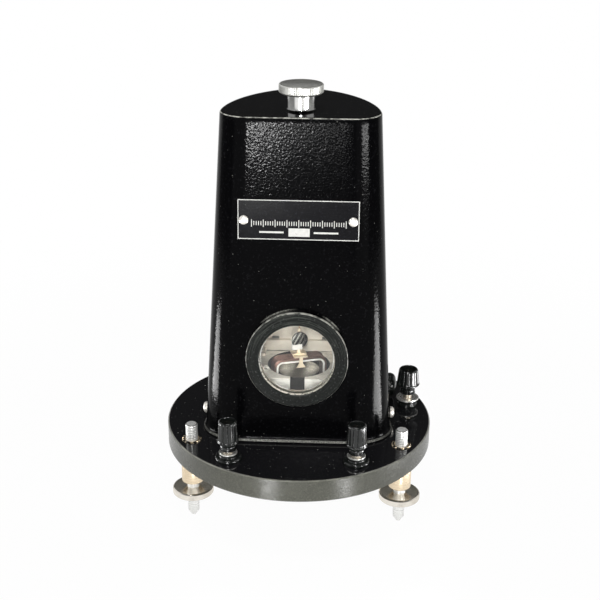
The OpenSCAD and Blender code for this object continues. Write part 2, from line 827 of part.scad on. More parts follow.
module pole_piece(s) {
  zc = pole_high - pole_low;
  gap = pole_slot / 2;
  column() translate([0, 0, pole_low]) difference() {
    intersection() {
      translate([s > 0 ? gap : -magnet_in, -pole_front, 0]) {
        cube([magnet_in - gap, pole_front + pole_back, zc]);
      }
      union() {
        translate([-magnet_out, -magnet_out, 0]) cube([2 * magnet_out, magnet_out + magnet_back, zc]);
        translate([0, magnet_back, 0]) cylinder(r = magnet_in - seat_gap, h = zc);
      }
    }
    translate([0, 0, -1]) cylinder(r = bore_r, h = zc + 2);
    translate([s * bridge_screw_x, bridge_screw_y, zc - 8]) cylinder(r = 1.5, h = 9);
  }
}

module pole_left() {
  color([0.74, 0.74, 0.72]) pole_piece(-1);
}

module pole_right() {
  color([0.74, 0.74, 0.72]) pole_piece(1);
}

core_low = pole_low - 0.5;
core_high = 38.3;
core_mid = (core_low + core_high) / 2;
bridge_y = pole_back + 1.1;
bridge_screw_y = bridge_y - 5.1;
bridge_foot = 2;
arm_half = 3;
back_y = bridge_y + bridge_t + 0.1;
notch_z = pole_high + 4.5;

module core() {
  color([0.60, 0.60, 0.58]) column() difference() {
    translate([0, 0, core_low]) cylinder(r = core_r, h = core_high - core_low);
    translate([0, 0, core_mid]) rotate([-90, 0, 0]) cylinder(r = 1.5, h = 20);
  }
}

// bridge across the pole pieces, with the arm that holds the core from behind
module core_bridge() {
  color([0.80, 0.80, 0.77]) column() difference() {
    union() {
      translate([-bridge_half, bridge_y, pole_high]) cube([2 * bridge_half, bridge_t, bridge_h]);
      for (s = [-1, 1]) translate([s * bridge_screw_x - 4, bridge_y - 9.6, pole_high]) {
        cube([8, 10, bridge_foot]);
      }
      translate([-arm_half, bridge_y, core_mid - 4]) {
        cube([2 * arm_half, bridge_t, pole_high - core_mid + 5]);
      }
      translate([-arm_half, core_r + 0.1, core_mid - 4]) {
        cube([2 * arm_half, bridge_y - core_r + 1, 8]);
      }
    }
    for (s = [-1, 1]) translate([s * bridge_screw_x, bridge_screw_y, pole_high - 1]) {
      cylinder(r = 1.6, h = bridge_foot + 2);
    }
    translate([0, core_r - 2, core_mid]) rotate([-90, 0, 0]) cylinder(r = 1.6, h = 20);
  }
}

module back_plate() {
  color([0.84, 0.84, 0.80]) column() difference() {
    translate([-back_half, back_y, pole_high + 1]) cube([2 * back_half, back_t, back_h]);
    for (s = [-1, 1]) translate([s * notch_x - notch_w / 2, back_y - 1, notch_z]) {
      cube([notch_w, back_t + 2, notch_h]);
    }
  }
}

module magnet_pillars() {
  color([0.76, 0.60, 0.32]) seat() for (p = pillar_spots) translate([p[0], p[1], 0]) {
    difference() {
      cylinder(r = pillar_r, h = pole_low);
      translate([0, 0, -1]) cylinder(r = 1.9 + seat_gap, h = 5);
    }
  }
}

module bridge_screws() {
  color([0.82, 0.80, 0.74]) column() {
    for (s = [-1, 1]) translate([s * bridge_screw_x, bridge_screw_y, pole_high + bridge_foot + 0.02]) {
      round_head(2.6, 1.6, 1.4, 6);
    }
    translate([0, bridge_y + bridge_t + 0.02, core_mid]) rotate([-90, 0, 0]) {
      round_head(2.6, 1.6, 1.4, bridge_y + bridge_t - core_r + 5.6);
    }
  }
}

// Coil arrest: knob, crank and a fork that lifts under the coil

guide_x = 10;
guide_y = 11;

module crank_axis() {
  seat() translate([0, crank_y, crank_z]) rotate([0, 90, 0]) children();
}

module arrest_knob() {
  r = arrest_d / 2;
  color([0.04, 0.04, 0.045]) crank_axis() translate([0, 0, 55.4]) difference() {
    rotate_extrude() polygon([
      [2 + seat_gap, 0], [r - 1, 0], [r, 1], [r, 7.6], [r - 0.7, 9.6], [r - 2.4, 10.8],
      [r - 4.5, 11.3], [0, 11.4], [0, 9.4], [2 + seat_gap, 9.4]
    ]);
    for (i = [0:11]) rotate([0, 0, i * 30]) translate([r + 0.5, 0, -1]) {
      cylinder(r = 1, h = 8.6);
    }
  }
}

module arrest_spindle() {
  color([0.72, 0.72, 0.70]) crank_axis() {
    translate([0, 0, 17.5]) cylinder(r = 2, h = 47);
    translate([0, 0, 44.4]) cylinder(r = 2.5, h = 10.6);
    translate([0, 0, 14.6]) cylinder(r = 4.2, h = 3);
    rotate([0, 0, -crank_angle]) translate([0, crank_throw, 10.8]) cylinder(r = 1.2, h = 4);
  }
}

fork_z = 5.6;
fork_t = 1.5;

module arrest_fork() {
  hy = -hang_forward;
  color([0.78, 0.70, 0.50]) seat() difference() {
    union() {
      translate([-14, hy - 8, fork_z]) cube([28, 32, fork_t]);
      translate([7, hy + 23, fork_z]) cube([7, crank_y + 5.5 - hy - 23, fork_t]);
      translate([11.2, crank_y - 5, fork_z + 1]) cube([2.8, 10.5, 6.6]);
    }
    translate([-5, hy - 9, fork_z - 1]) cube([10, 15, fork_t + 2]);
    for (s = [-1, 1]) translate([s * guide_x, guide_y, fork_z - 1]) {
      cylinder(r = 1.5 + 0.1, h = fork_t + 2);
    }
    translate([10, crank_y - 0.4, crank_z - crank_throw * sin(crank_angle) - 1.26]) {
      cube([5, 3.6, 2.52]);
    }
  }
}

module arrest_pads() {
  low = fork_z + fork_t;
  color([0.10, 0.10, 0.10]) column() for (s = [-1, 1]) {
    translate([s * 10 - 2.5, -4.5, low]) cube([5, 9, wind_low - 1.5 - low]);
  }
}

module arrest_guides() {
  color([0.80, 0.62, 0.30]) seat() for (s = [-1, 1]) translate([s * guide_x, guide_y, 0]) {
    translate([0, 0, -5.8]) cylinder(r = 1.5, h = 15.2);
    translate([0, 0, 9.2]) cylinder(r = 2.6, h = 1.2);
  }
}

// Terminals

// heights above the base: flange, collar, washer, start of the cap's skirt
function is_rear(i) = i == 2;
function collar_top(i) = is_rear(i) ? 5.2 : 4.4;
function skirt_low(i) = is_rear(i) ? 9.4 : 6.9;
function cap_low(i) = is_rear(i) ? 15.6 : 12.1;
function cap_high(i) = cap_low(i) + (is_rear(i) ? rear_cap_h : cap_h);
insert_r = 4.2;
// the counterbore under each terminal
post_bore_r = 8.5;
post_bore_deep = 7.5;
washer_t = 1.4;
tag_t = 0.5;
post_nut_t = 4;
tag_z = post_bore_deep - base_t - washer_t - tag_t;

module at_post(i) {
  seat() translate([post_spots[i][0], post_spots[i][1], 0]) children();
}

module post_collars() {
  color([0.03, 0.03, 0.03]) for (i = [0:2]) at_post(i) rotate_extrude() polygon(
    is_rear(i) ? [
      [stem_d / 2 + seat_gap, -5], [4.5, -5], [4.5, 0], [6.6, 0], [6.6, 1.6], [6, 2], [6, 5.2],
      [stem_d / 2 + seat_gap, 5.2]
    ] : [
      [stem_d / 2 + seat_gap, -5], [4.5, -5], [4.5, 0], [8.5, 0], [8.5, 1.9], [8, 2.4],
      [5.9, 2.4], [5.6, 2.8], [5.6, 4.4], [stem_d / 2 + seat_gap, 4.4]
    ]
  );
}

module post_washers() {
  color([0.85, 0.84, 0.80]) for (i = [0:2]) at_post(i) translate([0, 0, collar_top(i)]) {
    ring(is_rear(i) ? 7.8 : 5.9, stem_d / 2 + seat_gap, 0.9);
  }
}

// brass stem with the plug socket in its upper end
module post_stems() {
  color([0.80, 0.64, 0.34]) for (i = [0:2]) at_post(i) difference() {
    translate([0, 0, -base_t + 1]) cylinder(r = stem_d / 2, h = base_t - 1 + cap_high(i) - 5);
    translate([0, 0, cap_high(i) - 5 - 16]) cylinder(r = socket_bore / 2, h = 17);
  }
}

module post_bushings() {
  color([0.35, 0.18, 0.10]) for (i = [0:2]) at_post(i) {
    translate([0, 0, post_bore_deep - base_t - washer_t]) {
      ring(post_bore_r - 1, stem_d / 2 + seat_gap, washer_t);
    }
  }
}

module solder_tags() {
  color([0.82, 0.82, 0.80]) for (i = [0:2]) at_post(i) {
    a = atan2(post_spots[i][1], post_spots[i][0]);
    translate([0, 0, tag_z]) rotate([0, 0, a + 180]) difference() {
      union() {
        cylinder(r = 5, h = tag_t);
        translate([3, -1.5, 0]) cube([post_bore_r - 3.5, 3, tag_t]);
      }
      translate([0, 0, -1]) cylinder(r = stem_d / 2 + seat_gap, h = 3);
    }
  }
}

module post_nuts() {
  color([0.80, 0.64, 0.34]) for (i = [0:2]) at_post(i) translate([0, 0, tag_z - post_nut_t]) difference() {
    cylinder(r = 6.2, h = post_nut_t, $fn = 6);
    translate([0, 0, -1]) cylinder(r = stem_d / 2 + seat_gap, h = post_nut_t + 2);
  }
}

// threaded brass liner inside a cap: it climbs the stem as the cap is turned
module liner(i) {
  at_post(i) translate([0, 0, skirt_low(i) + 0.4]) {
    ring(insert_r, stem_d / 2 + run_gap, cap_low(i) + 4 - skirt_low(i));
  }
}

module liner_left() {
  color([0.80, 0.64, 0.34]) liner(0);
}

module liner_right() {
  color([0.80, 0.64, 0.34]) liner(1);
}

module liner_rear() {
  color([0.80, 0.64, 0.34]) liner(2);
}

module cap_body(low_r, top_r, s0, c0, h, bore) {
  lean = atan((low_r - top_r) / h);
  difference() {
    rotate_extrude() polygon([
      [insert_r + run_gap, s0], [5.2, s0], [5.2, s0 + 0.8], [4.7, s0 + 1.2], [4.7, c0 - 0.8],
      [low_r - 0.8, c0], [low_r, c0 + 1.4], [top_r, c0 + h - 0.6], [top_r - 0.5, c0 + h],
      [bore, c0 + h], [bore - 0.2, c0 + h - 8], [insert_r + run_gap, c0 + h - 8]
    ]);
    for (i = [0:11]) rotate([0, 0, i * 30]) {
      translate([low_r + 0.75, 0, c0 - 2]) rotate([0, -lean, 0]) cylinder(r = 1.2, h = h + 4);
    }
  }
}

module cap(i) {
  at_post(i) cap_body(
    (is_rear(i) ? rear_cap_low_d : cap_low_d) / 2, (is_rear(i) ? rear_cap_top_d : cap_top_d) / 2,
    skirt_low(i), cap_low(i), is_rear(i) ? rear_cap_h : cap_h, is_rear(i) ? 5.3 : 4.7
  );
}

module cap_left() {
  color([0.02, 0.02, 0.02]) cap(0);
}

module cap_right() {
  color([0.02, 0.02, 0.02]) cap(1);
}

module cap_rear() {
  color([0.02, 0.02, 0.02]) cap(2);
}

base_plate();
levelling_bushes();
screw_left();
screw_right();
screw_rear();
wheel_left();
wheel_right();
wheel_rear();
casing();
window_bezel();
window_gasket();
window_glass();
glass_retainer();
nameplate();
nameplate_marks();
nameplate_screws();
side_screws();
casing_brackets();
base_screws();
head_bush();
head_nut();
torsion_knob();
head_spindle();
head_collar();
suspension_strip();
mirror_stem();
mirror();
mirror_holder();
coil_clip_top();
coil_former();
coil_winding();
coil_clip_bottom();
ligament_spring();
ligament_anchor();
anchor_insulator();
magnet();
pole_left();
pole_right();
core();
core_bridge();
back_plate();
magnet_pillars();
bridge_screws();
arrest_knob();
arrest_spindle();
arrest_fork();
arrest_pads();
arrest_guides();
post_collars();
post_washers();
post_stems();
post_bushings();
solder_tags();
post_nuts();
liner_left();
liner_right();
liner_rear();
cap_left();
cap_right();
cap_rear();
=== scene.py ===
"""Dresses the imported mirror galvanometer: finer meshes, finishes, studio light and camera."""

import logging
import math
from dataclasses import dataclass
from enum import Enum
from functools import cached_property
from typing import Callable, Optional, Sequence, Union

import bmesh
import bpy
from mathutils import Matrix, Vector


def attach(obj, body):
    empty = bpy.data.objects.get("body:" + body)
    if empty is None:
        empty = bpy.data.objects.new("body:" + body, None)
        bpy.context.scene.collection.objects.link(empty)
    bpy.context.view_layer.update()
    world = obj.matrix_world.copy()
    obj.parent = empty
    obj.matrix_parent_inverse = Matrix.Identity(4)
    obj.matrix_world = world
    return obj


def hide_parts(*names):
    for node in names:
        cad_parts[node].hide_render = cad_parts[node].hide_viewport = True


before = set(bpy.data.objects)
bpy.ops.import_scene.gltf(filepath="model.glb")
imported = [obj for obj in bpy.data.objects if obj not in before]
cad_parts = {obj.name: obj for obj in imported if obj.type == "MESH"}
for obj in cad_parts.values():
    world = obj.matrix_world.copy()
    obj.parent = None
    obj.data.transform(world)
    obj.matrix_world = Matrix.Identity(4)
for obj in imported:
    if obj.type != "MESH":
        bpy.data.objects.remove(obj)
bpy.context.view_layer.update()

log = logging.getLogger("galvanometer")

MM = 0.001
Pair = tuple[float, float]
Triple = tuple[float, float, float]
Colour = tuple[float, float, float]
Cut = Callable[[float, float, float], float]
Mesh = bmesh.types.BMesh
Thing = bpy.types.Object
Socket = bpy.types.NodeSocket

WHITE: Colour = (1.0, 1.0, 1.0)


def polar(radius: float, turn: float) -> Pair:
    """The point at a radius and a turn in radians."""
    return radius * math.cos(turn), radius * math.sin(turn)


def spin(degrees: float, axis: str) -> Matrix:
    """A turn about one axis."""
    return Matrix.Rotation(math.radians(degrees), 4, axis)


def held(*values: float) -> float:
    """The least of the values, kept from 0 to 1."""
    return max(0.0, min(1.0, *values))


def saw(phase: float) -> float:
    """A wave that is 1 at whole numbers and 0 halfway between them."""
    return abs(2.0 * (phase % 1.0) - 1.0)


def toned(colour: Colour, share: float, lift: float = 0.0) -> Colour:
    """A colour made darker or lighter."""
    return tuple(channel * share + lift for channel in colour)


def put(name: str, data: bpy.types.ID) -> Thing:
    """Puts new data into the scene.

    Args:
        name: The object's name.
        data: Its mesh, light or camera.

    Returns:
        The object.
    """
    thing = bpy.data.objects.new(name, data)
    bpy.context.scene.collection.objects.link(thing)
    return thing


@dataclass(frozen=True)
class Layout:
    """Sizes that several sub-assemblies share, in millimetres from the middle of the base's top."""

    base_r: float = 89.0
    base_t: float = 15.5
    base_top: float = 56.5
    axis_y: float = -1.75
    hang_forward: float = 8.0
    case_h: float = 212.5
    window_z: float = 59.2
    seat_front: float = 34.0
    plate_z: float = 149.9
    coil_turn: float = 18.0
    screw_edge: float = 10.0
    screw_angles: Triple = (-150.0, -30.0, 90.0)

    def at(self, x: float, y: float, z: float) -> Matrix:
        """The place of a point given from the middle of the base's top."""
        return Matrix.Translation(Vector((x, y + self.axis_y, z + self.base_top)) * MM)

    def inside_rim(self, edge: float, degrees: float, z: float = 0.0) -> Matrix:
        """A place on the base, by its distance from the rim and its turn."""
        return self.at(*polar(self.base_r - edge, math.radians(degrees)), z)

    def screw(self, index: int, z: float = 0.0) -> Matrix:
        """The place of a levelling screw's axis at height z."""
        return self.inside_rim(self.screw_edge, self.screw_angles[index], z)

    def column(self, z: float = 0.0) -> Matrix:
        """The suspension's own axis at height z."""
        return self.at(0.0, -self.hang_forward, z)

    def hung(self) -> Matrix:
        """The suspension's axis, turned as the coil hangs at rest."""
        return self.column() @ spin(self.coil_turn, "Z")

    def window(self) -> Matrix:
        """The window's axis, with local Z pointing forward from the back of its seat."""
        return self.at(0.0, -self.seat_front, self.window_z) @ spin(90, "X")


LAYOUT = Layout()


class Shape:
    """Meshes in millimetres, made from profiles, sections and paths."""

    TIP_OUT = 0.5
    TIP_SIZE = 0.55
    ON_AXIS = 1e-6

    @staticmethod
    def lathe(
        profile: Sequence[Pair], steps: int = 96, closed: bool = False, cut: Optional[Cut] = None
    ) -> Mesh:
        """Turns a profile about the local Z axis.

        Args:
            profile: Pairs of radius and height, from one end to the other.
            steps: Faces round the axis.
            closed: Whether the last pair joins the first, as in a ring.
            cut: Gives the radius at a radius, an angle and a height, for teeth and threads.

        Returns:
            The turned mesh.
        """
        mesh = bmesh.new()
        rows = []
        for radius, height in profile:
            if radius < Shape.ON_AXIS:
                rows.append([mesh.verts.new((0.0, 0.0, height))])
                continue
            row = []
            for k in range(steps):
                angle = math.tau * k / steps
                r = cut(radius, angle, height) if cut else radius
                row.append(mesh.verts.new((*polar(r, angle), height)))
            rows.append(row)
        Shape._skin(mesh, rows, steps, closed)
        return mesh

    @staticmethod
    def ring(corners: Sequence[Pair], radius: float, steps: int) -> Mesh:
        """A turned ring with its inner corners rounded."""
        return Shape.lathe(rounded(corners, radius), steps, closed=True)

    @staticmethod
    def stack(sections: Sequence[Sequence[Triple]], closed: bool = False) -> Mesh:
        """Joins sections that each have the same number of points.

        Args:
            sections: Closed loops of points, from one end to the other.
            closed: Whether the last section joins the first; open ends are filled.

        Returns:
            The joined mesh.
        """
        mesh = bmesh.new()
        rows = [[mesh.verts.new(point) for point in section] for section in sections]
        Shape._skin(mesh, rows, len(rows[0]), closed)
        if not closed:
            mesh.faces.new(rows[0])
            mesh.faces.new(list(reversed(rows[-1])))
        return mesh

    @staticmethod
    def _skin(mesh: Mesh, rows: list, steps: int, closed: bool) -> None:
        """Fills the faces between neighbouring rows of points.

        Args:
            mesh: The mesh that holds the points.
            rows: The rows; a row of one point closes the mesh to it.
            steps: Points in a full row.
            closed: Whether the last row joins the first.
        """
        pairs = list(zip(rows, rows[1:])) + ([(rows[-1], rows[0])] if closed else [])
        for low, high in pairs:
            for k in range(steps):
                j = (k + 1) % steps
                around = ((low, k), (low, j), (high, j), (high, k))
                face = list(dict.fromkeys(row[i % len(row)] for row, i in around))
                if len(face) > 2:
                    mesh.faces.new(face)

    @staticmethod
    def tube(path: Sequence[Triple], radius: float, sides: int = 8) -> Mesh:
        """Leads a round wire along a path and rounds its ends off.

        Args:
            path: The wire's centre line.
            radius: The wire's radius.
            sides: Faces round the wire.

        Returns:
            The wire's mesh.
        """
        points = [Vector(p) for p in path]
        side = None
        sections = []
        for i, point in enumerate(points):
            ahead = points[min(i + 1, len(points) - 1)] - points[max(i - 1, 0)]
            ahead.normalize()
            if side is None:
                side = ahead.orthogonal().normalized()
            side = (side - ahead * side.dot(ahead)).normalized()
            up = ahead.cross(side)
            turns = [math.tau * k / sides for k in range(sides)]
            sections.append(
                [tuple(point + radius * (math.cos(t) * side + math.sin(t) * up)) for t in turns]
            )

        def tip(end: Vector, inner: Vector, section: list) -> list:
            """A smaller section beyond an end."""
            out = (end - inner).normalized() * radius * Shape.TIP_OUT
            return [tuple(end + out + (Vector(p) - end) * Shape.TIP_SIZE) for p in section]

        first = tip(points[0], points[1], sections[0])
        last = tip(points[-1], points[-2], sections[-1])
        return Shape.stack([first, *sections, last])

    @staticmethod
    def block(low: Triple, high: Triple) -> Mesh:
        """A block between two corners."""
        (a, b, c), (d, e, f) = low, high
        return Shape.stack([[(a, b, z), (d, b, z), (d, e, z), (a, e, z)] for z in (c, f)])

    @staticmethod
    def joined(*meshes: Mesh) -> Mesh:
        """Several meshes as one.

        Args:
            meshes: The meshes, which are used up.

        Returns:
            The joined mesh.
        """
        whole = bmesh.new()
        for mesh in meshes:
            data = bpy.data.meshes.new("joining")
            mesh.to_mesh(data)
            mesh.free()
            whole.from_mesh(data)
            bpy.data.meshes.remove(data)
        return whole

    @staticmethod
    def moved(mesh: Mesh, place: Matrix) -> Mesh:
        """The mesh after a move or turn."""
        bmesh.ops.transform(mesh, matrix=place, verts=mesh.verts)
        return mesh


def offset(radius: float, height: float, *points: Pair) -> list[Pair]:
    """Profile points that are given from a radius and a height."""
    return [(radius + out, height + up) for out, up in points]


def rounded(corners: Sequence[Pair], radius: float, steps: int = 3) -> list[Pair]:
    """A profile with its inner corners rounded.

    Args:
        corners: Pairs of radius and height.
        radius: The rounding, which short sides limit.
        steps: Points in each rounded corner, less one.

    Returns:
        The profile with the corners replaced by arcs.
    """
    most_of_side, least_reach = 0.45, 1e-4
    out = [corners[0]]
    for before, here, after in zip(corners, corners[1:], corners[2:]):
        a, p, b = Vector(before), Vector(here), Vector(after)
        u, v = a - p, b - p
        reach = min(radius, u.length * most_of_side, v.length * most_of_side)
        if reach < least_reach:
            out.append(here)
            continue
        start, end = p + u.normalized() * reach, p + v.normalized() * reach
        for k in range(steps + 1):
            t = k / steps
            point = start * (1 - t) ** 2 + p * 2 * t * (1 - t) + end * t ** 2
            out.append((point.x, point.y))
    out.append(corners[-1])
    return out


def teeth(count: int, depth: float, low: float, high: float) -> Cut:
    """Straight knurling between two heights, as a cut for Shape.lathe.

    Args:
        count: Teeth round the axis.
        depth: How deep they are.
        low: Where they start.
        high: Where they end.

    Returns:
        The cut.
    """

    def cut(radius: float, angle: float, height: float) -> float:
        """Radius with the teeth taken off."""
        deep = depth * saw(angle * count / math.tau)
        return radius - deep if low <= height <= high else radius

    return cut


def thread(pitch: float, depth: float, low: float, high: float) -> Cut:
    """A right-hand thread between two heights, as a cut for Shape.lathe.

    Args:
        pitch: The rise of one turn.
        depth: The groove's depth.
        low: Where it starts.
        high: Where it ends.

    Returns:
        The cut.
    """
    crest = 0.9

    def cut(radius: float, angle: float, height: float) -> float:
        """Radius with the thread's groove taken off, which fades at both ends."""
        wave = max(0.0, (1.0 + crest) * saw(height / pitch - angle / math.tau) - crest)
        return radius - depth * wave * held((height - low) / pitch, (high - height) / pitch)

    return cut


def steps_between(low: float, high: float, step: float) -> list[float]:
    """Heights from low to high, evenly spaced and about a step apart."""
    count = max(1, round((high - low) / step))
    return [low + (high - low) * k / count for k in range(count + 1)]


class Value:
    """What one node gives; arithmetic on it adds nodes."""

    def __init__(self, nodes: "Nodes", socket: Socket) -> None:
        """Keeps the socket and the tree that it is in."""
        self.nodes = nodes
        self.socket = socket

    def __add__(self, other: "Amount") -> "Value":
        """The sum."""
        return self.nodes.math("ADD", self, other)

    def __sub__(self, other: "Amount") -> "Value":
        """The difference."""
        return self.nodes.math("SUBTRACT", self, other)

    def __rsub__(self, other: float) -> "Value":
        """The difference from a plain number."""
        return self.nodes.math("SUBTRACT", other, self)

    def __mul__(self, other: "Amount") -> "Value":
        """The product."""
        return self.nodes.math("MULTIPLY", self, other)

    def __abs__(self) -> "Value":
        """The size without its sign."""
        return self.nodes.math("ABSOLUTE", self)

    def most(self, other: "Amount") -> "Value":
        """The greater of two."""
        return self.nodes.math("MAXIMUM", self, other)

    def rise(self, low: float, high: float, to: Pair = (0.0, 1.0)) -> "Value":
        """Maps a range smoothly onto another, held at its ends."""
        ends = {"From Min": low, "From Max": high, "To Min": to[0], "To Max": to[1]}
        return self.nodes.make("MapRange", {"Value": self, **ends}, interpolation_type="SMOOTHSTEP")

    def fall(self, low: float, high: float) -> "Value":
        """1 below a range and 0 above it."""
        return self.rise(low, high, (1.0, 0.0))

    def band(self, low: float, full: float, fading: float, gone: float) -> "Value":
        """1 in the middle of a band, rising from low to full and falling from fading to gone."""
        return self.rise(low, full) * self.fall(fading, gone)


Amount = Union[Value, float]
Tint = Union[Value, Colour]


class Nodes:
    """A node tree that is built from values."""

    def __init__(self, tree: bpy.types.NodeTree) -> None:
        """Starts on a tree."""
        self.tree = tree

    def add(self, kind: str, inputs: dict, **settings: object) -> bpy.types.Node:
        """Adds one node.

        Args:
            kind: The node's type.
            inputs: What each input gets, by its name or number.
            settings: The node's properties.

        Returns:
            The node.
        """
        node = self.tree.nodes.new("ShaderNode" + kind)
        for key, value in settings.items():
            setattr(node, key, value)
        for key, value in inputs.items():
            self.feed(node.inputs[key], value)
        return node

    def make(
        self, kind: str, inputs: dict, output: Union[int, str] = 0, **settings: object,
    ) -> Value:
        """Adds one node and gives one of its outputs."""
        return Value(self, self.add(kind, inputs, **settings).outputs[output])

    def feed(self, target: Socket, value: object) -> None:
        """Links a socket, or sets it to a plain number, vector or colour.

        Args:
            target: The socket.
            value: What it gets.
        """
        if isinstance(value, Value):
            self.tree.links.new(value.socket, target)
        else:
            target.default_value = (*value, 1.0) if target.type == "RGBA" else value

    def math(self, operation: str, a: Amount, b: Amount = 0.0) -> Value:
        """One step of arithmetic."""
        return self.make("Math", {0: a, 1: b}, operation=operation)

    def split(self, whole: Value, kind: str = "SeparateXYZ") -> tuple[Value, ...]:
        """The three parts of a vector or a colour."""
        return tuple(Value(self, part) for part in self.add(kind, {0: whole}).outputs)

    def rays(self, *kinds: str) -> Value:
        """1 for rays of the given kinds and 0 for others.

        Args:
            kinds: Their names on the Light Path node.

        Returns:
            The mask.
        """
        path = self.add("LightPath", {})
        first, *others = (Value(self, path.outputs[kind]) for kind in kinds)
        for other in others:
            first = first.most(other)
        return first


class Graph(Nodes):
    """The nodes of one material, round its Principled shader."""

    def __init__(self, name: str) -> None:
        """Starts a material.

        Args:
            name: The material's name.
        """
        self.material = bpy.data.materials.new(name)
        self.material.use_nodes = True
        super().__init__(self.material.node_tree)
        self.shader = self.tree.nodes["Principled BSDF"]
        self.here = self.make("TexCoord", {}, "Object")

    @cached_property
    def place(self) -> tuple[Value, ...]:
        """The object's coordinates x, y and z, in metres."""
        return self.split(self.here)

    def stretch(self, scale: Triple) -> Value:
        """Coordinates scaled along each axis."""
        return self.make("Mapping", {"Vector": self.here, "Scale": scale})

    def length(self, vector: Value) -> Value:
        """A vector's length."""
        return self.make("VectorMath", {0: vector}, "Value", operation="LENGTH")

    def reach(self, axis_y: float = 0.0) -> Value:
        """Distance from an upright axis that stands at (0, axis_y)."""
        x, y, _ = self.place
        return self.length(self.make("CombineXYZ", {0: x, 1: y - axis_y}))

    def turned(self, along: float, across: float) -> Value:
        """Coordinates for lathe marks: distance from the axis, a little of the angle, and height.

        Args:
            along: Scale round the axis.
            across: Scale outward and along the axis.

        Returns:
            The coordinates.
        """
        x, y, z = self.place
        turn = self.math("ARCTAN2", y, x)
        return self.make("CombineXYZ", {0: self.reach() * across, 1: turn * along, 2: z * across})

    def noise(
        self, scale: float, detail: float = 3.0, rough: float = 0.5, vector: Optional[Value] = None
    ) -> Value:
        """Soft noise from 0 to 1."""
        look = {"Scale": scale, "Detail": detail, "Roughness": rough}
        return self.make("TexNoise", {"Vector": vector or self.here, **look})

    def cells(self, scale: float) -> tuple[Value, Value]:
        """Round cells: the distance from each cell's middle, and the cell's own colour."""
        node = self.add("TexVoronoi", {"Vector": self.here, "Scale": scale})
        return Value(self, node.outputs["Distance"]), Value(self, node.outputs["Color"])

    def blend(self, factor: Value, a: Tint, b: Tint) -> Value:
        """Mixes two colours."""
        return self.make("Mix", {"Factor": factor, 6: a, 7: b}, 2, data_type="RGBA")

    def bump(self, height: Value, distance: float) -> Value:
        """Bends the surface by a height in metres."""
        return self.make("Bump", {"Strength": 1.0, "Distance": distance, "Height": height})

    def dust(self, scale: float, share: float, size: float) -> Value:
        """Sparse round specks: 1 on a speck and 0 elsewhere.

        Args:
            scale: Cells in a metre.
            share: Share of the cells that hold a speck.
            size: The speck's radius as a share of its cell.

        Returns:
            The mask.
        """
        distance, tint = self.cells(scale)
        pick, spread, *_ = self.split(tint, "SeparateColor")
        picked = self.math("GREATER_THAN", pick, 1.0 - share)
        return picked * self.math("LESS_THAN", distance, spread * size)

    def surface(self, **inputs: object) -> None:
        """Feeds the shader's own sockets, with underscores for spaces in their names."""
        for key, value in inputs.items():
            self.feed(self.shader.inputs[key.replace("_", " ")], value)

    def overlay(self, share: Value, other: Value) -> None:
        """Shows another shader in place of the Principled one by a share.

        Args:
            share: How much of the other shader shows.
            other: The other shader.
        """
        both = {0: share, 1: Value(self, self.shader.outputs[0]), 2: other}
        surface = self.tree.nodes["Material Output"].inputs["Surface"]
        self.feed(surface, self.make("MixShader", both))


@dataclass(frozen=True)
class Finish:
    """One finish, made once and shared by the pieces that have it."""

    name: str

    def material(self) -> bpy.types.Material:
        """Finds the finish's material, or makes it.

        Returns:
            The material.
        """
        made = bpy.data.materials.get("finish_" + self.name)
        if made is not None:
            return made
        graph = Graph("finish_" + self.name)
        self.mix(graph)
        return graph.material

    def mix(self, graph: Graph) -> None:
        """Builds the finish's nodes."""
        raise NotImplementedError


@dataclass(frozen=True)
class StoveEnamel(Finish):
    """Black stove enamel over a fine-grained casting."""

    colour: Colour = (0.0018, 0.0018, 0.0022)
    roughness: float = 0.1
    grain: float = 0.000052
    grain_scale: float = 850.0
    shine: float = 0.036
    specks: float = 0.09
    # The pale colour of rubbed edges, and of highlights painted on edges, the foot bead and the
    # boss.
    rub_and_highlight: Colour = (0.5, 0.5, 0.45)

    def mix(self, graph: Graph) -> None:
        """Speckled bump, a few pale specks and soft changes in the shine.

        Args:
            graph: The finish's nodes.
        """
        cells, _ = graph.cells(self.grain_scale)
        grain = cells * 0.5 + graph.noise(self.grain_scale * 0.8, 1.0, 0.5)
        wear = graph.noise(38.0, 4.0, 0.6)
        flecks = graph.noise(self.grain_scale * 0.7, 2.0, 0.7).rise(0.56, 0.72)
        tone = graph.blend(flecks, self.colour, toned(self.colour, 3.0, 0.003))
        shade = graph.blend(graph.dust(620.0, self.specks, 0.22), tone, (0.11, 0.11, 0.1))
        graph.surface(
            Base_Color=self.worn(graph, shade, wear),
            Roughness=wear.rise(0.3, 0.7, (self.roughness * 0.9, self.roughness * 1.15)),
            Normal=graph.bump(grain, self.grain),
            Specular_IOR_Level=self.shine,
        )

    def worn(self, graph: Graph, shade: Value, wear: Value) -> Value:
        """The enamel's colour with its worn places and painted highlights, which only some enamels
        have.
        """
        return shade

    @staticmethod
    def broken(graph: Graph) -> Value:
        """What breaks up the pale lines of rubbed edges and painted highlights."""
        return graph.noise(260.0, 3.0, 0.6).rise(0.35, 0.6, (0.12, 1.0))


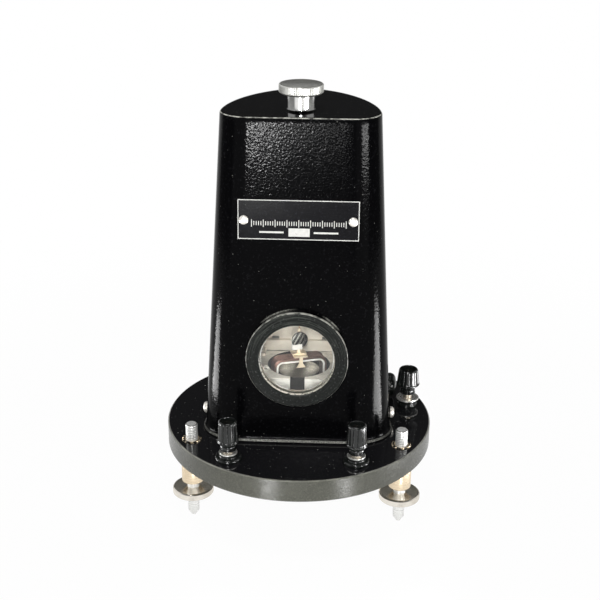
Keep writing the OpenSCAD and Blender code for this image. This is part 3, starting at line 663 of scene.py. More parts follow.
@dataclass(frozen=True)
class CaseEnamel(StoveEnamel):
    """The case's enamel, with painted highlights at the roof's edge, the foot bead and the window's
    boss.
    """

    edge_height: float = 0.2118

    def worn(self, graph: Graph, shade: Value, wear: Value) -> Value:
        """Pale lines at the top edge and the foot bead, and arcs at the boss: painted highlights,
        with the top edge also rubbed.

        Args:
            graph: The finish's nodes.
            shade: The enamel's colour.
            wear: The noise of the wear; not used here.

        Returns:
            The colour with the pale lines and arcs.
        """
        _, y, z = graph.place
        edge = self.edge_height
        # Roof edge: a pale line, partly rubbed enamel and partly a painted highlight.
        line = z.band(edge, edge + 0.0002, edge + 0.0005, edge + 0.0007) * self.broken(graph)
        speckled = graph.noise(1300.0, 2.0, 0.6).rise(0.3, 0.7, (0.1, 0.6))
        # Foot bead: a painted highlight along the front of the bead.
        bead = z.band(0.001, 0.0013, 0.0021, 0.0025) * y.rise(-0.041, -0.03, (1.0, 0.3))
        return graph.blend(line.most(self.arcs(graph)).most(bead * speckled), shade, self.rub_and_highlight)

    @staticmethod
    def arcs(graph: Graph) -> Value:
        """The mask of two arcs of painted highlight where the window's boss meets the leaning face.

        Args:
            graph: The finish's nodes.

        Returns:
            The mask.
        """
        x, y, z = graph.place
        over = z - LAYOUT.window_z * MM
        reach = graph.math("SQRT", x * x + over * over)
        bearing = graph.math("ARCTAN2", over, x)
        # Painted highlights on the boss's edge, at the upper left and the upper right.
        sides = bearing.band(1.55, 1.85, 2.15, 2.4).most(bearing.band(0.6, 0.75, 0.9, 1.1))
        front = sides * y.fall(-0.02, -0.01)
        streaks = graph.noise(900.0, 2.0, 0.6).rise(0.3, 0.65, (0.12, 0.6))
        return front * reach.band(0.0322, 0.0325, 0.0329, 0.0335) * streaks


@dataclass(frozen=True)
class RingEnamel(StoveEnamel):
    """The window ring's enamel: scuffs paler towards the top as painted sheen, a rubbed rim with a
    painted highlight, and enamel chipped off its bore, paler at the bottom as a painted highlight.
    """

    colour: Colour = (0.013, 0.0145, 0.0135)
    roughness: float = 0.22
    grain: float = 0.00009
    grain_scale: float = 900.0
    shine: float = 0.12
    specks: float = 0.3
    rim: float = 0.0321
    bore: float = 0.0241
    bare: Colour = (0.78, 0.74, 0.63)
    scuff_and_sheen: Colour = (0.07, 0.077, 0.068)
    soft: float = 0.0002

    def worn(self, graph: Graph, shade: Value, wear: Value) -> Value:
        """Scuffs shown more towards the top as painted sheen, a rubbed rim with a painted
        highlight, and a bore without enamel, paler at the bottom as a painted highlight.

        Args:
            graph: The finish's nodes.
            shade: The enamel's colour.
            wear: The noise that stains the bare metal.

        Returns:
            The colour with the worn places and painted highlights.
        """
        _, y, _ = graph.place
        reach = graph.reach()
        scuffs = graph.noise(1.0, 2.0, 0.6, graph.turned(1.6, 2400.0)).rise(0.48, 0.72, (0.0, 0.8))
        # Concentric scuffs, shown more towards the top: painted sheen where light catches them.
        shade = graph.blend(scuffs * y.rise(-0.005, 0.022, (0.2, 1.0)), shade, self.scuff_and_sheen)
        # Outer rim: rubbed enamel and a painted highlight.
        rim = reach.rise(self.rim, self.rim + self.soft) * self.broken(graph)
        shade = graph.blend(rim, shade, self.rub_and_highlight)
        # Bare bore, shown most at the bottom where its wall faces up into the light: bare metal and
        # a painted highlight.
        bore = reach.fall(self.bore, self.bore + self.soft)
        chipped = graph.noise(700.0, 3.0, 0.6).rise(0.36, 0.5)
        stained = graph.blend(wear.rise(0.35, 0.7), self.bare, toned(self.bare, 0.7))
        return graph.blend(bore * (y.rise(-0.012, 0.006, (1.0, 0.3)) * chipped), shade, stained)


@dataclass(frozen=True)
class BaseEnamel(Finish):
    """Mirror-gloss black on the base's top and duller olive black on its edge."""

    top: Colour = (0.008, 0.008, 0.009)
    edge: Colour = (0.07, 0.071, 0.056)
    # The rim line's colour: rubbed paint and a painted highlight.
    line: Colour = (0.26, 0.26, 0.22)
    top_height: float = 0.0565
    bevel: float = 0.0008

    def mix(self, graph: Graph) -> None:
        """Divides the base by height, with dust on the top and a pale line at the rim that is
        rubbed paint and a painted highlight on the bevel.

        Args:
            graph: The finish's nodes.
        """
        _, _, z = graph.place

        def down(share: float) -> float:
            """A height below the top, as a share of the bevel."""
            return self.top_height - self.bevel * share

        side = z.rise(down(0.45), down(1.0))
        worn = graph.noise(90.0, 4.0, 0.6).rise(0.25, 0.75, (0.35, 1.0))
        # Rim line on the bevel: rubbed paint and a painted highlight, broken up by the noise above.
        rim = z.band(down(1.15), down(0.9), down(0.35), down(0.05)) * worn
        dust = graph.dust(420.0, 0.05, 0.2).most(graph.dust(1300.0, 0.03, 0.3))
        top = graph.blend(dust, self.top, (0.24, 0.24, 0.22))
        mottle = graph.noise(60.0, 5.0, 0.6)
        flecks = graph.noise(950.0, 2.0, 0.6).rise(0.42, 0.7)
        edge = graph.blend(mottle.rise(0.3, 0.7), toned(self.edge, 0.9), toned(self.edge, 1.04))
        edge = graph.blend(flecks * 0.6, edge, toned(self.edge, 1.7))
        gloss = graph.noise(24.0, 4.0, 0.65).rise(0.35, 0.7, (0.045, 0.11))
        dull = mottle.rise(0.3, 0.7, (0.24, 0.3))
        peel = graph.noise(110.0, 1.0, 0.4)
        lines = graph.noise(2600.0, 2.0, 0.5, graph.stretch((0.03, 0.03, 1.0)))
        marks = graph.noise(1500.0, 2.0, 0.5) * 0.4 + lines * 2.6
        graph.surface(
            Base_Color=graph.blend(rim, graph.blend(side, top, edge), self.line),
            Roughness=gloss * (1.0 - side) + dull * side,
            Normal=graph.bump(peel * 0.35 + marks * side, 0.00003),
            Specular_IOR_Level=0.5,
        )


@dataclass(frozen=True)
class TurnedMetal(Finish):
    """Metal turned in a lathe, with fine tool marks round its axis."""

    colour: Colour = (0.78, 0.78, 0.76)
    stain: Colour = (0.5, 0.49, 0.46)
    roughness: float = 0.16
    marks: float = 0.000012
    stained: float = 0.35
    metal: float = 1.0
    root: float = 0.0
    sprayed: float = 0.0
    enamel: Colour = (0.012, 0.012, 0.012)
    # Below this height the colour is dull: a dull tip on the studs, painted shade at the neck's
    # foot.
    dull_and_shade_below: float = -1.0
    dull: Colour = (0.8, 0.8, 0.78)

    def mix(self, graph: Graph) -> None:
        """Tool marks by distance from the axis, with stains, handling, and dirt and painted shade
        in a thread's root.

        Args:
            graph: The finish's nodes.
        """
        _, _, z = graph.place
        rings = graph.noise(1.0, 3.0, 0.65, graph.turned(0.35, 5200.0))
        broad = graph.noise(1.0, 1.0, 0.5, graph.turned(0.8, 1400.0))
        stain = graph.noise(130.0, 5.0, 0.62).rise(0.42, 0.72) * self.stained
        spots = graph.noise(900.0, 2.0, 0.5).rise(0.66, 0.8, (0.0, self.stained * 0.6))
        shade = graph.blend(stain, self.colour, self.stain)
        shade = graph.blend(spots, shade, toned(self.stain, 0.4))
        # Darker thread roots: dirt and painted shade in the grooves.
        if self.root > 0:
            shade = graph.blend(self.root_dirt_and_shade(graph), shade, toned(self.stain, 0.25))
        if self.sprayed > 0:
            shade = graph.blend(self.overspray(graph), shade, self.enamel)
        # A plain colour below a height: dull metal on the studs, painted shade at the neck's foot.
        if self.dull_and_shade_below > -1:
            low = z.fall(self.dull_and_shade_below - 0.0002, self.dull_and_shade_below)
            shade = graph.blend(low, shade, self.dull)
        rough = rings.rise(0.3, 0.7, (self.roughness * 0.75, self.roughness * 1.3))
        graph.surface(
            Base_Color=shade,
            Metallic=self.metal,
            Roughness=rough + stain * 0.22,
            Normal=graph.bump(rings + broad * 0.5, self.marks),
        )

    def overspray(self, graph: Graph) -> Value:
        """Where the base's enamel runs over a lip, worn through in places.

        Args:
            graph: The finish's nodes.

        Returns:
            The mask.
        """
        _, _, z = graph.place
        reach = graph.reach() + graph.noise(500.0, 2.0, 0.5) * 0.0006
        covered = reach.rise(self.sprayed, self.sprayed + 0.0002)
        worn = graph.noise(330.0, 2.0, 0.5).rise(0.46, 0.56) * reach.rise(0.0058, 0.006)
        return covered * z.rise(-0.0002, -0.0001) * (1.0 - worn)

    def root_dirt_and_shade(self, graph: Graph) -> Value:
        """Where dirt and painted shade lie in the root of the thread above the base.

        Args:
            graph: The finish's nodes.

        Returns:
            The mask.
        """
        _, _, z = graph.place
        reach = graph.reach()
        deep = reach.fall(self.root - 0.0003, self.root)
        outer = reach.rise(self.root - 0.0007, self.root - 0.0006)
        return deep * outer * z.rise(-0.004, -0.003)


@dataclass(frozen=True)
class WorkedMetal(Finish):
    """Sheet, bar or cast metal that was filed, ground or plated."""

    colour: Colour = (0.75, 0.75, 0.73)
    stain: Colour = (0.45, 0.44, 0.41)
    roughness: float = 0.28
    marks: float = 0.00001
    stained: float = 0.4
    metal: float = 1.0
    blotch: float = 150.0
    bare_from: float = 0.0
    # Colour of the band between the bare edges: painted shade.
    inner_shade: Colour = (0.2, 0.17, 0.14)

    def mix(self, graph: Graph) -> None:
        """Scratches with stains over them, and painted shade between bare edges.

        Args:
            graph: The finish's nodes.
        """
        scratch = graph.noise(2600.0, 3.0, 0.6)
        stain = graph.noise(self.blotch, 5.0, 0.62).rise(0.4, 0.75) * self.stained
        spots = graph.noise(1100.0, 2.0, 0.5).rise(0.68, 0.82, (0.0, self.stained * 0.25))
        shade = graph.blend(stain, self.colour, self.stain)
        shade = graph.blend(spots, shade, toned(self.stain, 0.6))
        # The band between the pale edges is painted dark: painted shade on the former's inner
        # faces.
        if self.bare_from > 0:
            _, y, _ = graph.place
            inside = abs(y).fall(self.bare_from, self.bare_from + 0.0001)
            shade = graph.blend(inside, shade, self.inner_shade)
        rough = scratch.rise(0.3, 0.7, (self.roughness * 0.8, self.roughness * 1.25))
        graph.surface(
            Base_Color=shade,
            Metallic=self.metal,
            Roughness=rough + stain * 0.2,
            Normal=graph.bump(scratch, self.marks),
        )


@dataclass(frozen=True)
class GroundIron(Finish):
    """Soft iron with its top ground bright and painted lighter than its sides for light from above,
    and its bore and slot painted near-black as shade.
    """

    # Top and side colours differ partly as painted light from above; dark paints shade in the bore
    # and slot.
    top: Colour = (0.9, 0.87, 0.79)
    side: Colour = (0.6, 0.59, 0.55)
    stain: Colour = (0.36, 0.33, 0.28)
    dark: Colour = (0.014, 0.013, 0.011)
    top_height: float = 0.0983
    axis_y: float = -0.00975
    bore: float = 0.02053
    slot_half: float = 0.00468
    soft: float = 0.00012

    def mix(self, graph: Graph) -> None:
        """Divides the block by height and by distance from the bore's axis: lighter top and darker
        sides as painted light, near-black bore and slot as painted shade.

        Args:
            graph: The finish's nodes.
        """
        x, _, z = graph.place
        # Bore and slot painted near-black: painted shade in the gaps.
        bore_shade = graph.reach(self.axis_y).fall(self.bore, self.bore + self.soft)
        slot_shade = abs(x).fall(self.slot_half, self.slot_half + self.soft)
        lines = graph.noise(1900.0, 3.0, 0.6, graph.stretch((0.08, 1.0, 1.0)))
        mottle = graph.noise(230.0, 5.0, 0.65)
        # Lighter ground top and darker sides: ground faces, with the contrast painted for light
        # from above.
        face = graph.blend(lines.rise(0.3, 0.75), self.side, toned(self.side, 0.78))
        ground = z.rise(self.top_height, self.top_height + 0.00015)
        shade = graph.blend(ground, face, self.top)
        shade = graph.blend(mottle.rise(0.45, 0.75, (0.0, 0.55)), shade, self.stain)
        graph.surface(
            Base_Color=graph.blend(bore_shade.most(slot_shade), shade, self.dark),
            Metallic=mottle.rise(0.3, 0.7, (0.15, 0.3)),
            Roughness=lines.rise(0.3, 0.75, (0.34, 0.46)),
            Normal=graph.bump(lines, 0.000014),
        )


@dataclass(frozen=True)
class PolishedCore(Finish):
    """The core's dark polished iron, with painted reflections on both sides of its middle and
    near-black sides as painted shade.
    """

    dark: Colour = (0.09, 0.08, 0.062)
    side: Colour = (0.009, 0.0085, 0.0075)
    bright: Colour = (0.98, 0.95, 0.85)
    axis_y: float = -0.00975
    top_height: float = 0.0946

    def mix(self, graph: Graph) -> None:
        """Painted reflections as soft bright patches on the top, near-black sides with faint pale
        streaks as painted shade, and faint turning marks.

        Args:
            graph: The finish's nodes.
        """
        x, y, z = graph.place
        deep = y - self.axis_y
        # Two painted reflections on the top, stronger towards the back.
        spread = abs(x + deep * -0.12)
        reflection_patch = spread.rise(0.001, 0.007) * spread.rise(0.008, 0.0145, (1.0, 0.1))
        uneven = graph.noise(120.0, 3.0, 0.55).rise(0.25, 0.7, (0.35, 1.0))
        bright = reflection_patch * uneven * deep.rise(-0.012, 0.002, (0.25, 1.0))
        top = graph.blend(bright, self.dark, self.bright)
        # Near-black sides with faint streaks: painted shade in the gap round the core.
        streaks = graph.noise(600.0, 2.0, 0.5, graph.stretch((1.0, 1.0, 0.15))).rise(0.56, 0.75)
        side = graph.blend(streaks, self.side, toned(self.side, 4.0))
        ground = z.rise(self.top_height, self.top_height + 0.0002)
        marks = graph.noise(1500.0, 2.0, 0.5)
        graph.surface(
            Base_Color=graph.blend(ground, side, top),
            Metallic=ground * 0.35,
            Roughness=marks.rise(0.3, 0.7, (0.2, 0.3)),
            Normal=graph.bump(marks, 0.000006),
            Specular_IOR_Level=0.1,
        )


@dataclass(frozen=True)
class Moulded(Finish):
    """Moulded phenolic, rubber or fibre: a dense body colour with a skin."""

    colour: Colour = (0.012, 0.013, 0.013)
    swirl: Colour = (0.03, 0.033, 0.031)
    roughness: float = 0.14
    grain: float = 0.000012
    grain_scale: float = 700.0
    shine: float = 0.5

    def mix(self, graph: Graph) -> None:
        """Faint flow marks, a fine skin and handling.

        Args:
            graph: The finish's nodes.
        """
        flow = graph.noise(210.0, 4.0, 0.6)
        graph.surface(
            Base_Color=graph.blend(flow.rise(0.35, 0.75), self.colour, self.swirl),
            Roughness=flow.rise(0.3, 0.75, (self.roughness * 0.8, self.roughness * 1.35)),
            Normal=graph.bump(graph.noise(self.grain_scale, 3.0, 0.6), self.grain),
            Specular_IOR_Level=self.shine,
        )


@dataclass(frozen=True)
class FilledMark(Finish):
    """Pale paint wiped into a plate's marks."""

    colour: Colour = (0.84, 0.84, 0.8)

    def mix(self, graph: Graph) -> None:
        """Slightly uneven filling with a few dark pinholes.

        Args:
            graph: The finish's nodes.
        """
        tone = graph.noise(420.0, 4.0, 0.6)
        body = graph.blend(tone.rise(0.3, 0.75), self.colour, toned(self.colour, 0.86))
        graph.surface(
            Base_Color=graph.blend(graph.dust(1800.0, 0.1, 0.3), body, (0.3, 0.29, 0.27)),
            Roughness=tone.rise(0.3, 0.7, (0.4, 0.55)),
            Normal=graph.bump(graph.noise(1500.0, 2.0), 0.00001),
        )


@dataclass(frozen=True)
class WindowGlass(Finish):
    """Clear glass with a breath of dust, which lets the lamps through."""

    tint: Colour = (0.98, 0.98, 0.965)

    def mix(self, graph: Graph) -> None:
        """Glass for sight, and open to the lamps' rays.

        Args:
            graph: The finish's nodes.
        """
        graph.surface(
            Base_Color=self.tint,
            Roughness=graph.noise(55.0, 4.0, 0.6).rise(0.5, 0.85, (0.0, 0.03)),
            Transmission_Weight=1.0,
            Specular_IOR_Level=0.03,
            IOR=1.45,
        )
        graph.overlay(graph.rays("Is Shadow Ray"), graph.make("BsdfTransparent", {0: self.tint}))


@dataclass(frozen=True)
class Silvering(Finish):
    """An old front-silvered mirror with slanting wiping marks."""

    colour: Colour = (0.6, 0.6, 0.55)
    worn: Colour = (0.07, 0.072, 0.066)

    def mix(self, graph: Graph) -> None:
        """Slanting bands where the silver has thinned.

        Args:
            graph: The finish's nodes.
        """
        x, y, _ = graph.place
        bands = graph.math("SINE", (x * 0.87 + y * -0.5) * 2300.0)
        soft = bands * 0.42 + graph.noise(210.0, 2.0, 0.5)
        lost = (x - y * -0.3).rise(0.0015, 0.0055, (0.0, 0.85))
        silver = graph.blend(soft.rise(0.25, 0.85), self.worn, self.colour)
        graph.surface(
            Base_Color=graph.blend(lost, silver, toned(self.worn, 0.4)),
            Metallic=1.0,
            Roughness=soft.rise(0.2, 0.9, (0.05, 0.14)),
        )


class Finishes:
    """The finishes of this instrument."""

    CASE = CaseEnamel("case_enamel")
    ROOF = StoveEnamel("roof_enamel", roughness=0.07, grain=0.00002, shine=0.4, specks=0.12)
    RING = RingEnamel("ring_enamel")
    BASE = BaseEnamel("base_enamel")
    PLATE = StoveEnamel(
        "plate_black", (0.003, 0.003, 0.0045),
        roughness=0.18, grain=0.000012, grain_scale=900.0, shine=0.1, specks=0.03,
    )
    CASTING = StoveEnamel(
        "grey_casting", (0.16, 0.16, 0.165),
        roughness=0.5, grain=0.00009, grain_scale=500.0, shine=0.35, specks=0.02,
    )
    MARKS = FilledMark("plate_marks")
    NICKEL = TurnedMetal("turned_nickel")
    # The neck's foot is painted near-black: painted shade in the gap above the roof.
    NECK = TurnedMetal("neck_nickel", dull_and_shade_below=0.0013, dull=(0.02, 0.02, 0.019))
    STUD = TurnedMetal(
        "stud_nickel", (0.9, 0.9, 0.88), (0.6, 0.59, 0.55),
        roughness=0.3, marks=0.000008, stained=0.2, metal=0.6, root=0.00378, dull_and_shade_below=-0.0395,
    )
    WHEEL = TurnedMetal(
        "wheel_nickel", (0.8, 0.76, 0.69), (0.45, 0.4, 0.33),
        roughness=0.15, marks=0.000012, stained=0.45, metal=0.97,
    )
    GRIP = TurnedMetal(
        "grip_nickel", (0.78, 0.78, 0.74), (0.4, 0.4, 0.37),
        roughness=0.33, marks=0.00002, stained=0.5, metal=0.93,
    )
    BUSH = TurnedMetal(
        "bush_brass", (0.76, 0.63, 0.45), (0.6, 0.46, 0.29),
        roughness=0.24, marks=0.000014, stained=0.3, metal=0.75, sprayed=0.0051,
    )
    STEM = TurnedMetal(
        "stem_brass", (0.45, 0.4, 0.33), (0.25, 0.21, 0.16),
        roughness=0.3, marks=0.000012, stained=0.4, metal=0.8,
    )
    WASHER = TurnedMetal(
        "washer_nickel", (0.9, 0.89, 0.85), (0.6, 0.58, 0.53),
        roughness=0.25, marks=0.000012, stained=0.3, metal=0.8,
    )
    BRASS = TurnedMetal(
        "turned_brass", (0.92, 0.83, 0.66), (0.7, 0.58, 0.4),
        roughness=0.24, marks=0.000014, stained=0.3, metal=0.75,
    )
    CLIP_BRASS = WorkedMetal(
        "clip_brass", (0.94, 0.81, 0.61), (0.7, 0.54, 0.36),
        roughness=0.36, marks=0.000006, stained=0.3, metal=0.35,
    )
    SCREW = WorkedMetal(
        "screw_nickel", (0.9, 0.87, 0.81), (0.62, 0.56, 0.48),
        roughness=0.34, marks=0.000012, stained=0.35, metal=0.55,
    )
    IRON = GroundIron("soft_iron")
    CORE = PolishedCore("core_iron")
    BRIDGE = WorkedMetal(
        "bridge_nickel", (0.98, 0.91, 0.79), (0.6, 0.48, 0.37),
        roughness=0.36, marks=0.000008, stained=0.5, metal=0.1, blotch=62.0,
    )
    MAGNET = WorkedMetal(
        "magnet_alloy", (0.6, 0.57, 0.5), (0.3, 0.27, 0.23),
        roughness=0.42, marks=0.00002, stained=0.5, metal=0.3,
    )
    FORMER = WorkedMetal(
        "coil_former", (0.95, 0.93, 0.88), (0.72, 0.68, 0.6),
        roughness=0.4, marks=0.000008, stained=0.35, metal=0.25, bare_from=0.0045,
    )
    ALUMINIUM = WorkedMetal(
        "former_aluminium", (0.93, 0.91, 0.86), (0.7, 0.67, 0.6),
        roughness=0.4, marks=0.000008, stained=0.35, metal=0.25,
    )
    COPPER = WorkedMetal(
        "coil_copper", (0.46, 0.28, 0.23), (0.13, 0.075, 0.058),
        roughness=0.32, marks=0.000006, stained=0.7,
    )
    BRONZE = WorkedMetal(
        "strip_bronze", (0.74, 0.47, 0.24), (0.45, 0.26, 0.12),
        roughness=0.25, marks=0.000006, stained=0.3,
    )
    PHENOLIC = Moulded(
        "black_phenolic", (0.006, 0.007, 0.0065), (0.014, 0.016, 0.015), roughness=0.13
    )
    PALE_RUBBER = Moulded(
        "pale_rubber", (0.6, 0.55, 0.45), (0.86, 0.82, 0.72),
        roughness=0.45, grain=0.00002, grain_scale=900.0, shine=0.3,
    )
    RUBBER = Moulded(
        "soft_rubber", (0.02, 0.02, 0.02), (0.045, 0.045, 0.043),
        roughness=0.55, grain=0.00003, grain_scale=1200.0, shine=0.3,
    )
    FIBRE = Moulded(
        "red_fibre", (0.14, 0.05, 0.03), (0.25, 0.1, 0.06),
        roughness=0.5, grain=0.00003, grain_scale=900.0, shine=0.3,
    )
    GLASS = WindowGlass("window_glass")
    MIRROR = Silvering("mirror_silver")


Dress = tuple[str, Finish, float]


class Bench:
    """Where pieces are made into objects, dressed and put on their bodies."""

    BEVEL_ANGLE = 32.0

    @staticmethod
    def place(
        name: str,
        mesh: Mesh,
        spot: Matrix,
        finish: Finish,
        body: str,
        stands_for: Sequence[str] = (),
        bevel: float = 0.0,
        crease: float = 32.0,
        slot: Optional[str] = None,
    ) -> Thing:
        """Makes one piece.

        Args:
            name: The piece's name.
            mesh: Its mesh in millimetres about its own place.
            spot: Its place in the row's frame.
            finish: Its finish.
            body: The CAD body that it moves with.
            stands_for: CAD nodes that it replaces.
            bevel: Width of the bevel on its edges, in millimetres.
            crease: Edges sharper than this many degrees stay sharp.
            slot: The record's material slot; not used.

        Returns:
            The finished piece.
        """
        bmesh.ops.recalc_face_normals(mesh, faces=mesh.faces)
        bmesh.ops.scale(mesh, vec=(MM, MM, MM), verts=mesh.verts)
        data = bpy.data.meshes.new(name)
        mesh.to_mesh(data)
        mesh.free()
        for face in data.polygons:
            face.use_smooth = True
        data.set_sharp_from_angle(angle=math.radians(crease))
        piece = put(name, data)
        piece.matrix_world = spot
        data.materials.append(finish.material())
        if bevel > 0:
            Bench.soften(piece, bevel)
        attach(piece, body)
        if stands_for:
            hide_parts(*stands_for)
        return piece

    @staticmethod
    def soften(piece: Thing, width: float) -> None:
        """Gives a piece's sharp edges a small bevel.

        Args:
            piece: The piece.
            width: The bevel's width, in millimetres.
        """
        bevel = piece.modifiers.new("edges", "BEVEL")
        bevel.width = width * MM
        bevel.segments = 2
        bevel.limit_method = "ANGLE"
        bevel.angle_limit = math.radians(Bench.BEVEL_ANGLE)
        bevel.harden_normals = True

    @staticmethod
    def cut(mesh: Mesh, tool: Mesh, join: bool = False) -> Mesh:
        """Takes one closed mesh away from another, or joins them.

        Args:
            mesh: The mesh that is kept.
            tool: The mesh that cuts or is added.
            join: Whether the two are joined.

        Returns:
            The new mesh.
        """
        made = []
        for part, label in ((mesh, "work"), (tool, "tool")):
            bmesh.ops.recalc_face_normals(part, faces=part.faces)
            data = bpy.data.meshes.new(label)
            part.to_mesh(data)
            part.free()
            made.append(put(label, data))
        step = made[0].modifiers.new("cut", "BOOLEAN")
        step.operation = "UNION" if join else "DIFFERENCE"
        step.solver = "EXACT"
        step.object = made[1]
        bpy.context.view_layer.update()
        done = made[0].evaluated_get(bpy.context.evaluated_depsgraph_get()).to_mesh()
        out = bmesh.new()
        out.from_mesh(done)
        for thing in made:
            data = thing.data
            bpy.data.objects.remove(thing)
            bpy.data.meshes.remove(data)
        return out

    @staticmethod
    def dress(node: str, finish: Finish, bevel: float) -> Thing:
        """Gives a CAD node a finish, and softens its edges if asked.

        Args:
            node: The CAD node's name.
            finish: Its finish.
            bevel: Width of the bevel on its edges, or 0 for none.

        Returns:
            The dressed piece.
        """
        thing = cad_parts[node]
        for slot in thing.material_slots:
            slot.link = "OBJECT"
            slot.material = finish.material()
        if bevel > 0:
            Bench.soften(thing, bevel)
        return thing


@dataclass
class SubAssembly:
    """A group of pieces that is built together."""

    layout: Layout = LAYOUT
    dressed: tuple[Dress, ...] = ()

    def made(self) -> list[Thing]:
        """Makes the group's own pieces."""
        return []

    def build(self) -> list[Thing]:
        """Makes the group's own pieces and dresses the CAD pieces that it keeps."""
        return self.made() + [Bench.dress(*one) for one in self.dressed]


@dataclass
class Base(SubAssembly):
    """The round base and what is fixed under it."""

    dressed: tuple[Dress, ...] = (
        ("base_plate", Finishes.BASE, 0.0),
        ("base_screws", Finishes.SCREW, 0.2),
        ("casing_brackets", Finishes.CASTING, 0.4),
        ("anchor_insulator", Finishes.FIBRE, 0.15),
        ("ligament_anchor", Finishes.BRASS, 0.15),
    )


@dataclass
class LevellingFeet(SubAssembly):
    """Three screws, their bushes and their knurled wheels."""

    screw_r: float = 3.95
    screw_up: float = 11.5
    pitch: float = 1.25
    thread_deep: float = 0.55
    lower_thread: float = -29.5
    upper_thread: float = -2.5
    wheel_r: float = 13.5
    wheel_t: float = 5.0
    wheel_drop: float = 34.5
    wheel_teeth: int = 72
    wheel_tooth: float = 0.22
    bush_r: float = 7.3
    bush_neck_r: float = 6.5
    bush_drop: float = 30.5
    bush_lip: float = 0.8
    lip_teeth: int = 20
    lip_tooth: float = 0.7
    gap: float = 0.05
    names: tuple[str, str, str] = ("left", "right", "rear")

    def made(self) -> list[Thing]:
        """Makes each foot's screw, wheel and bush."""
        steps = (self.screw, self.wheel, self.bush)
        return [step(index, name) for index, name in enumerate(self.names) for step in steps]

    def screw(self, index: int, name: str) -> Thing:
        """A screw with its thread above the base and at the wheel.

        Args:
            index: The foot's number, from 0.
            name: The foot's name.

        Returns:
            The placed piece.
        """
        r, low, top = self.screw_r, -self.layout.base_top, self.screw_up
        under = -self.wheel_drop - self.wheel_t - 0.6
        lower, upper, fine = self.lower_thread, self.upper_thread, self.pitch / 8
        profile = [(0.0, low), (1.2, low), (1.5, low + 0.15), (r - 0.25, low + 3.6)]
        profile += [(r - 0.25, under), (r, under)]
        profile += [(r, z) for z in steps_between(under + 0.05, lower, fine)]
        profile += [(r - 0.3, lower + 0.1), (r - 0.3, upper - 0.1)]
        profile += [(r, z) for z in steps_between(upper, top - 0.75, fine)]
        profile += offset(r, top, (-0.35, -0.35), (-0.8, 0.0), (-2.6, 0.0)) + [(0.0, top - 0.1)]
        low_cut = thread(self.pitch, self.thread_deep, under, lower)
        high_cut = thread(self.pitch, self.thread_deep, upper, top - 0.4)

        def cut(radius: float, angle: float, height: float) -> float:
            """Both threaded lengths."""
            groove = low_cut if height < (lower + upper) / 2 else high_cut
            return radius if radius < r - 0.01 else groove(radius, angle, height)

        return Bench.place(
            "stud_" + name, Shape.lathe(profile, 56, cut=cut), self.layout.screw(index),
            Finishes.STUD, "screw_" + name, ["screw_" + name], crease=50, slot="nickel",
        )

    def wheel(self, index: int, name: str) -> Thing:
        """A knurled wheel with a dished top.

        Args:
            index: The foot's number, from 0.
            name: The foot's name.

        Returns:
            The placed piece.
        """
        r, t, bore = self.wheel_r, self.wheel_t, self.screw_r + self.gap
        profile = offset(bore, 0.0, (0.0, 0.25), (0.25, 0.0))
        profile += offset(r, 0.0, (-1.1, 0.0), (-0.7, 0.2), (-0.02, 0.75))
        profile += [(r, z) for z in (0.95, 2.0, 3.0, t - 0.95)]
        profile += offset(r, t, (-0.02, -0.75), (-0.7, -0.2), (-1.1, 0.0))
        profile += offset(r, t, (-1.6, 0.0), (-2.0, -0.12))
        profile += offset(bore, t, (1.6, -0.12), (1.2, 0.0), (0.25, 0.0), (0.0, -0.25))
        knurl = teeth(self.wheel_teeth, self.wheel_tooth, 0.7, t - 0.7)
        mesh = Shape.lathe(profile, 4 * self.wheel_teeth, closed=True, cut=knurl)
        node = "wheel_" + name
        spot = self.layout.screw(index, -self.wheel_drop - t)
        return Bench.place(
            "knurled_" + node, mesh, spot, Finishes.WHEEL, node, [node], slot="nickel",
        )

    def bush(self, index: int, name: str) -> Thing:
        """A brass bush with a serrated lip above the base.

        Args:
            index: The foot's number, from 0.
            name: The foot's name.

        Returns:
            The placed piece.
        """
        bore, neck, r = self.screw_r + self.gap, self.bush_neck_r, self.bush_r
        under, lip, drop = -self.layout.base_t, self.bush_lip, -self.bush_drop
        corners = [(bore, lip - 0.65), (bore, drop + 0.4), (bore + 0.4, drop), (r - 0.6, drop)]
        corners += [(r, drop + 0.6), (r, under - 0.5), (r - 0.2, under), (neck, under), (neck, 0.0)]
        corners += offset(neck, lip, (0.0, -0.35), (-0.25, 0.0))
        corners += offset(bore, lip, (1.15, 0.0), (0.9, -0.05), (0.0, -0.6))
        serrated = teeth(self.lip_teeth, self.lip_tooth, -0.05, lip + 0.1)

        def cut(radius: float, angle: float, height: float) -> float:
            """Serrations on the lip's outer edge only, so that the bore stays round."""
            return serrated(radius, angle, height) if radius > neck - 0.5 else radius

        mesh = Shape.lathe(corners, 216, closed=True, cut=cut)
        return Bench.place(
            "bush_" + name, mesh, self.layout.screw(index),
            Finishes.BUSH, "frame", ["levelling_bushes"], slot="brass",
        )


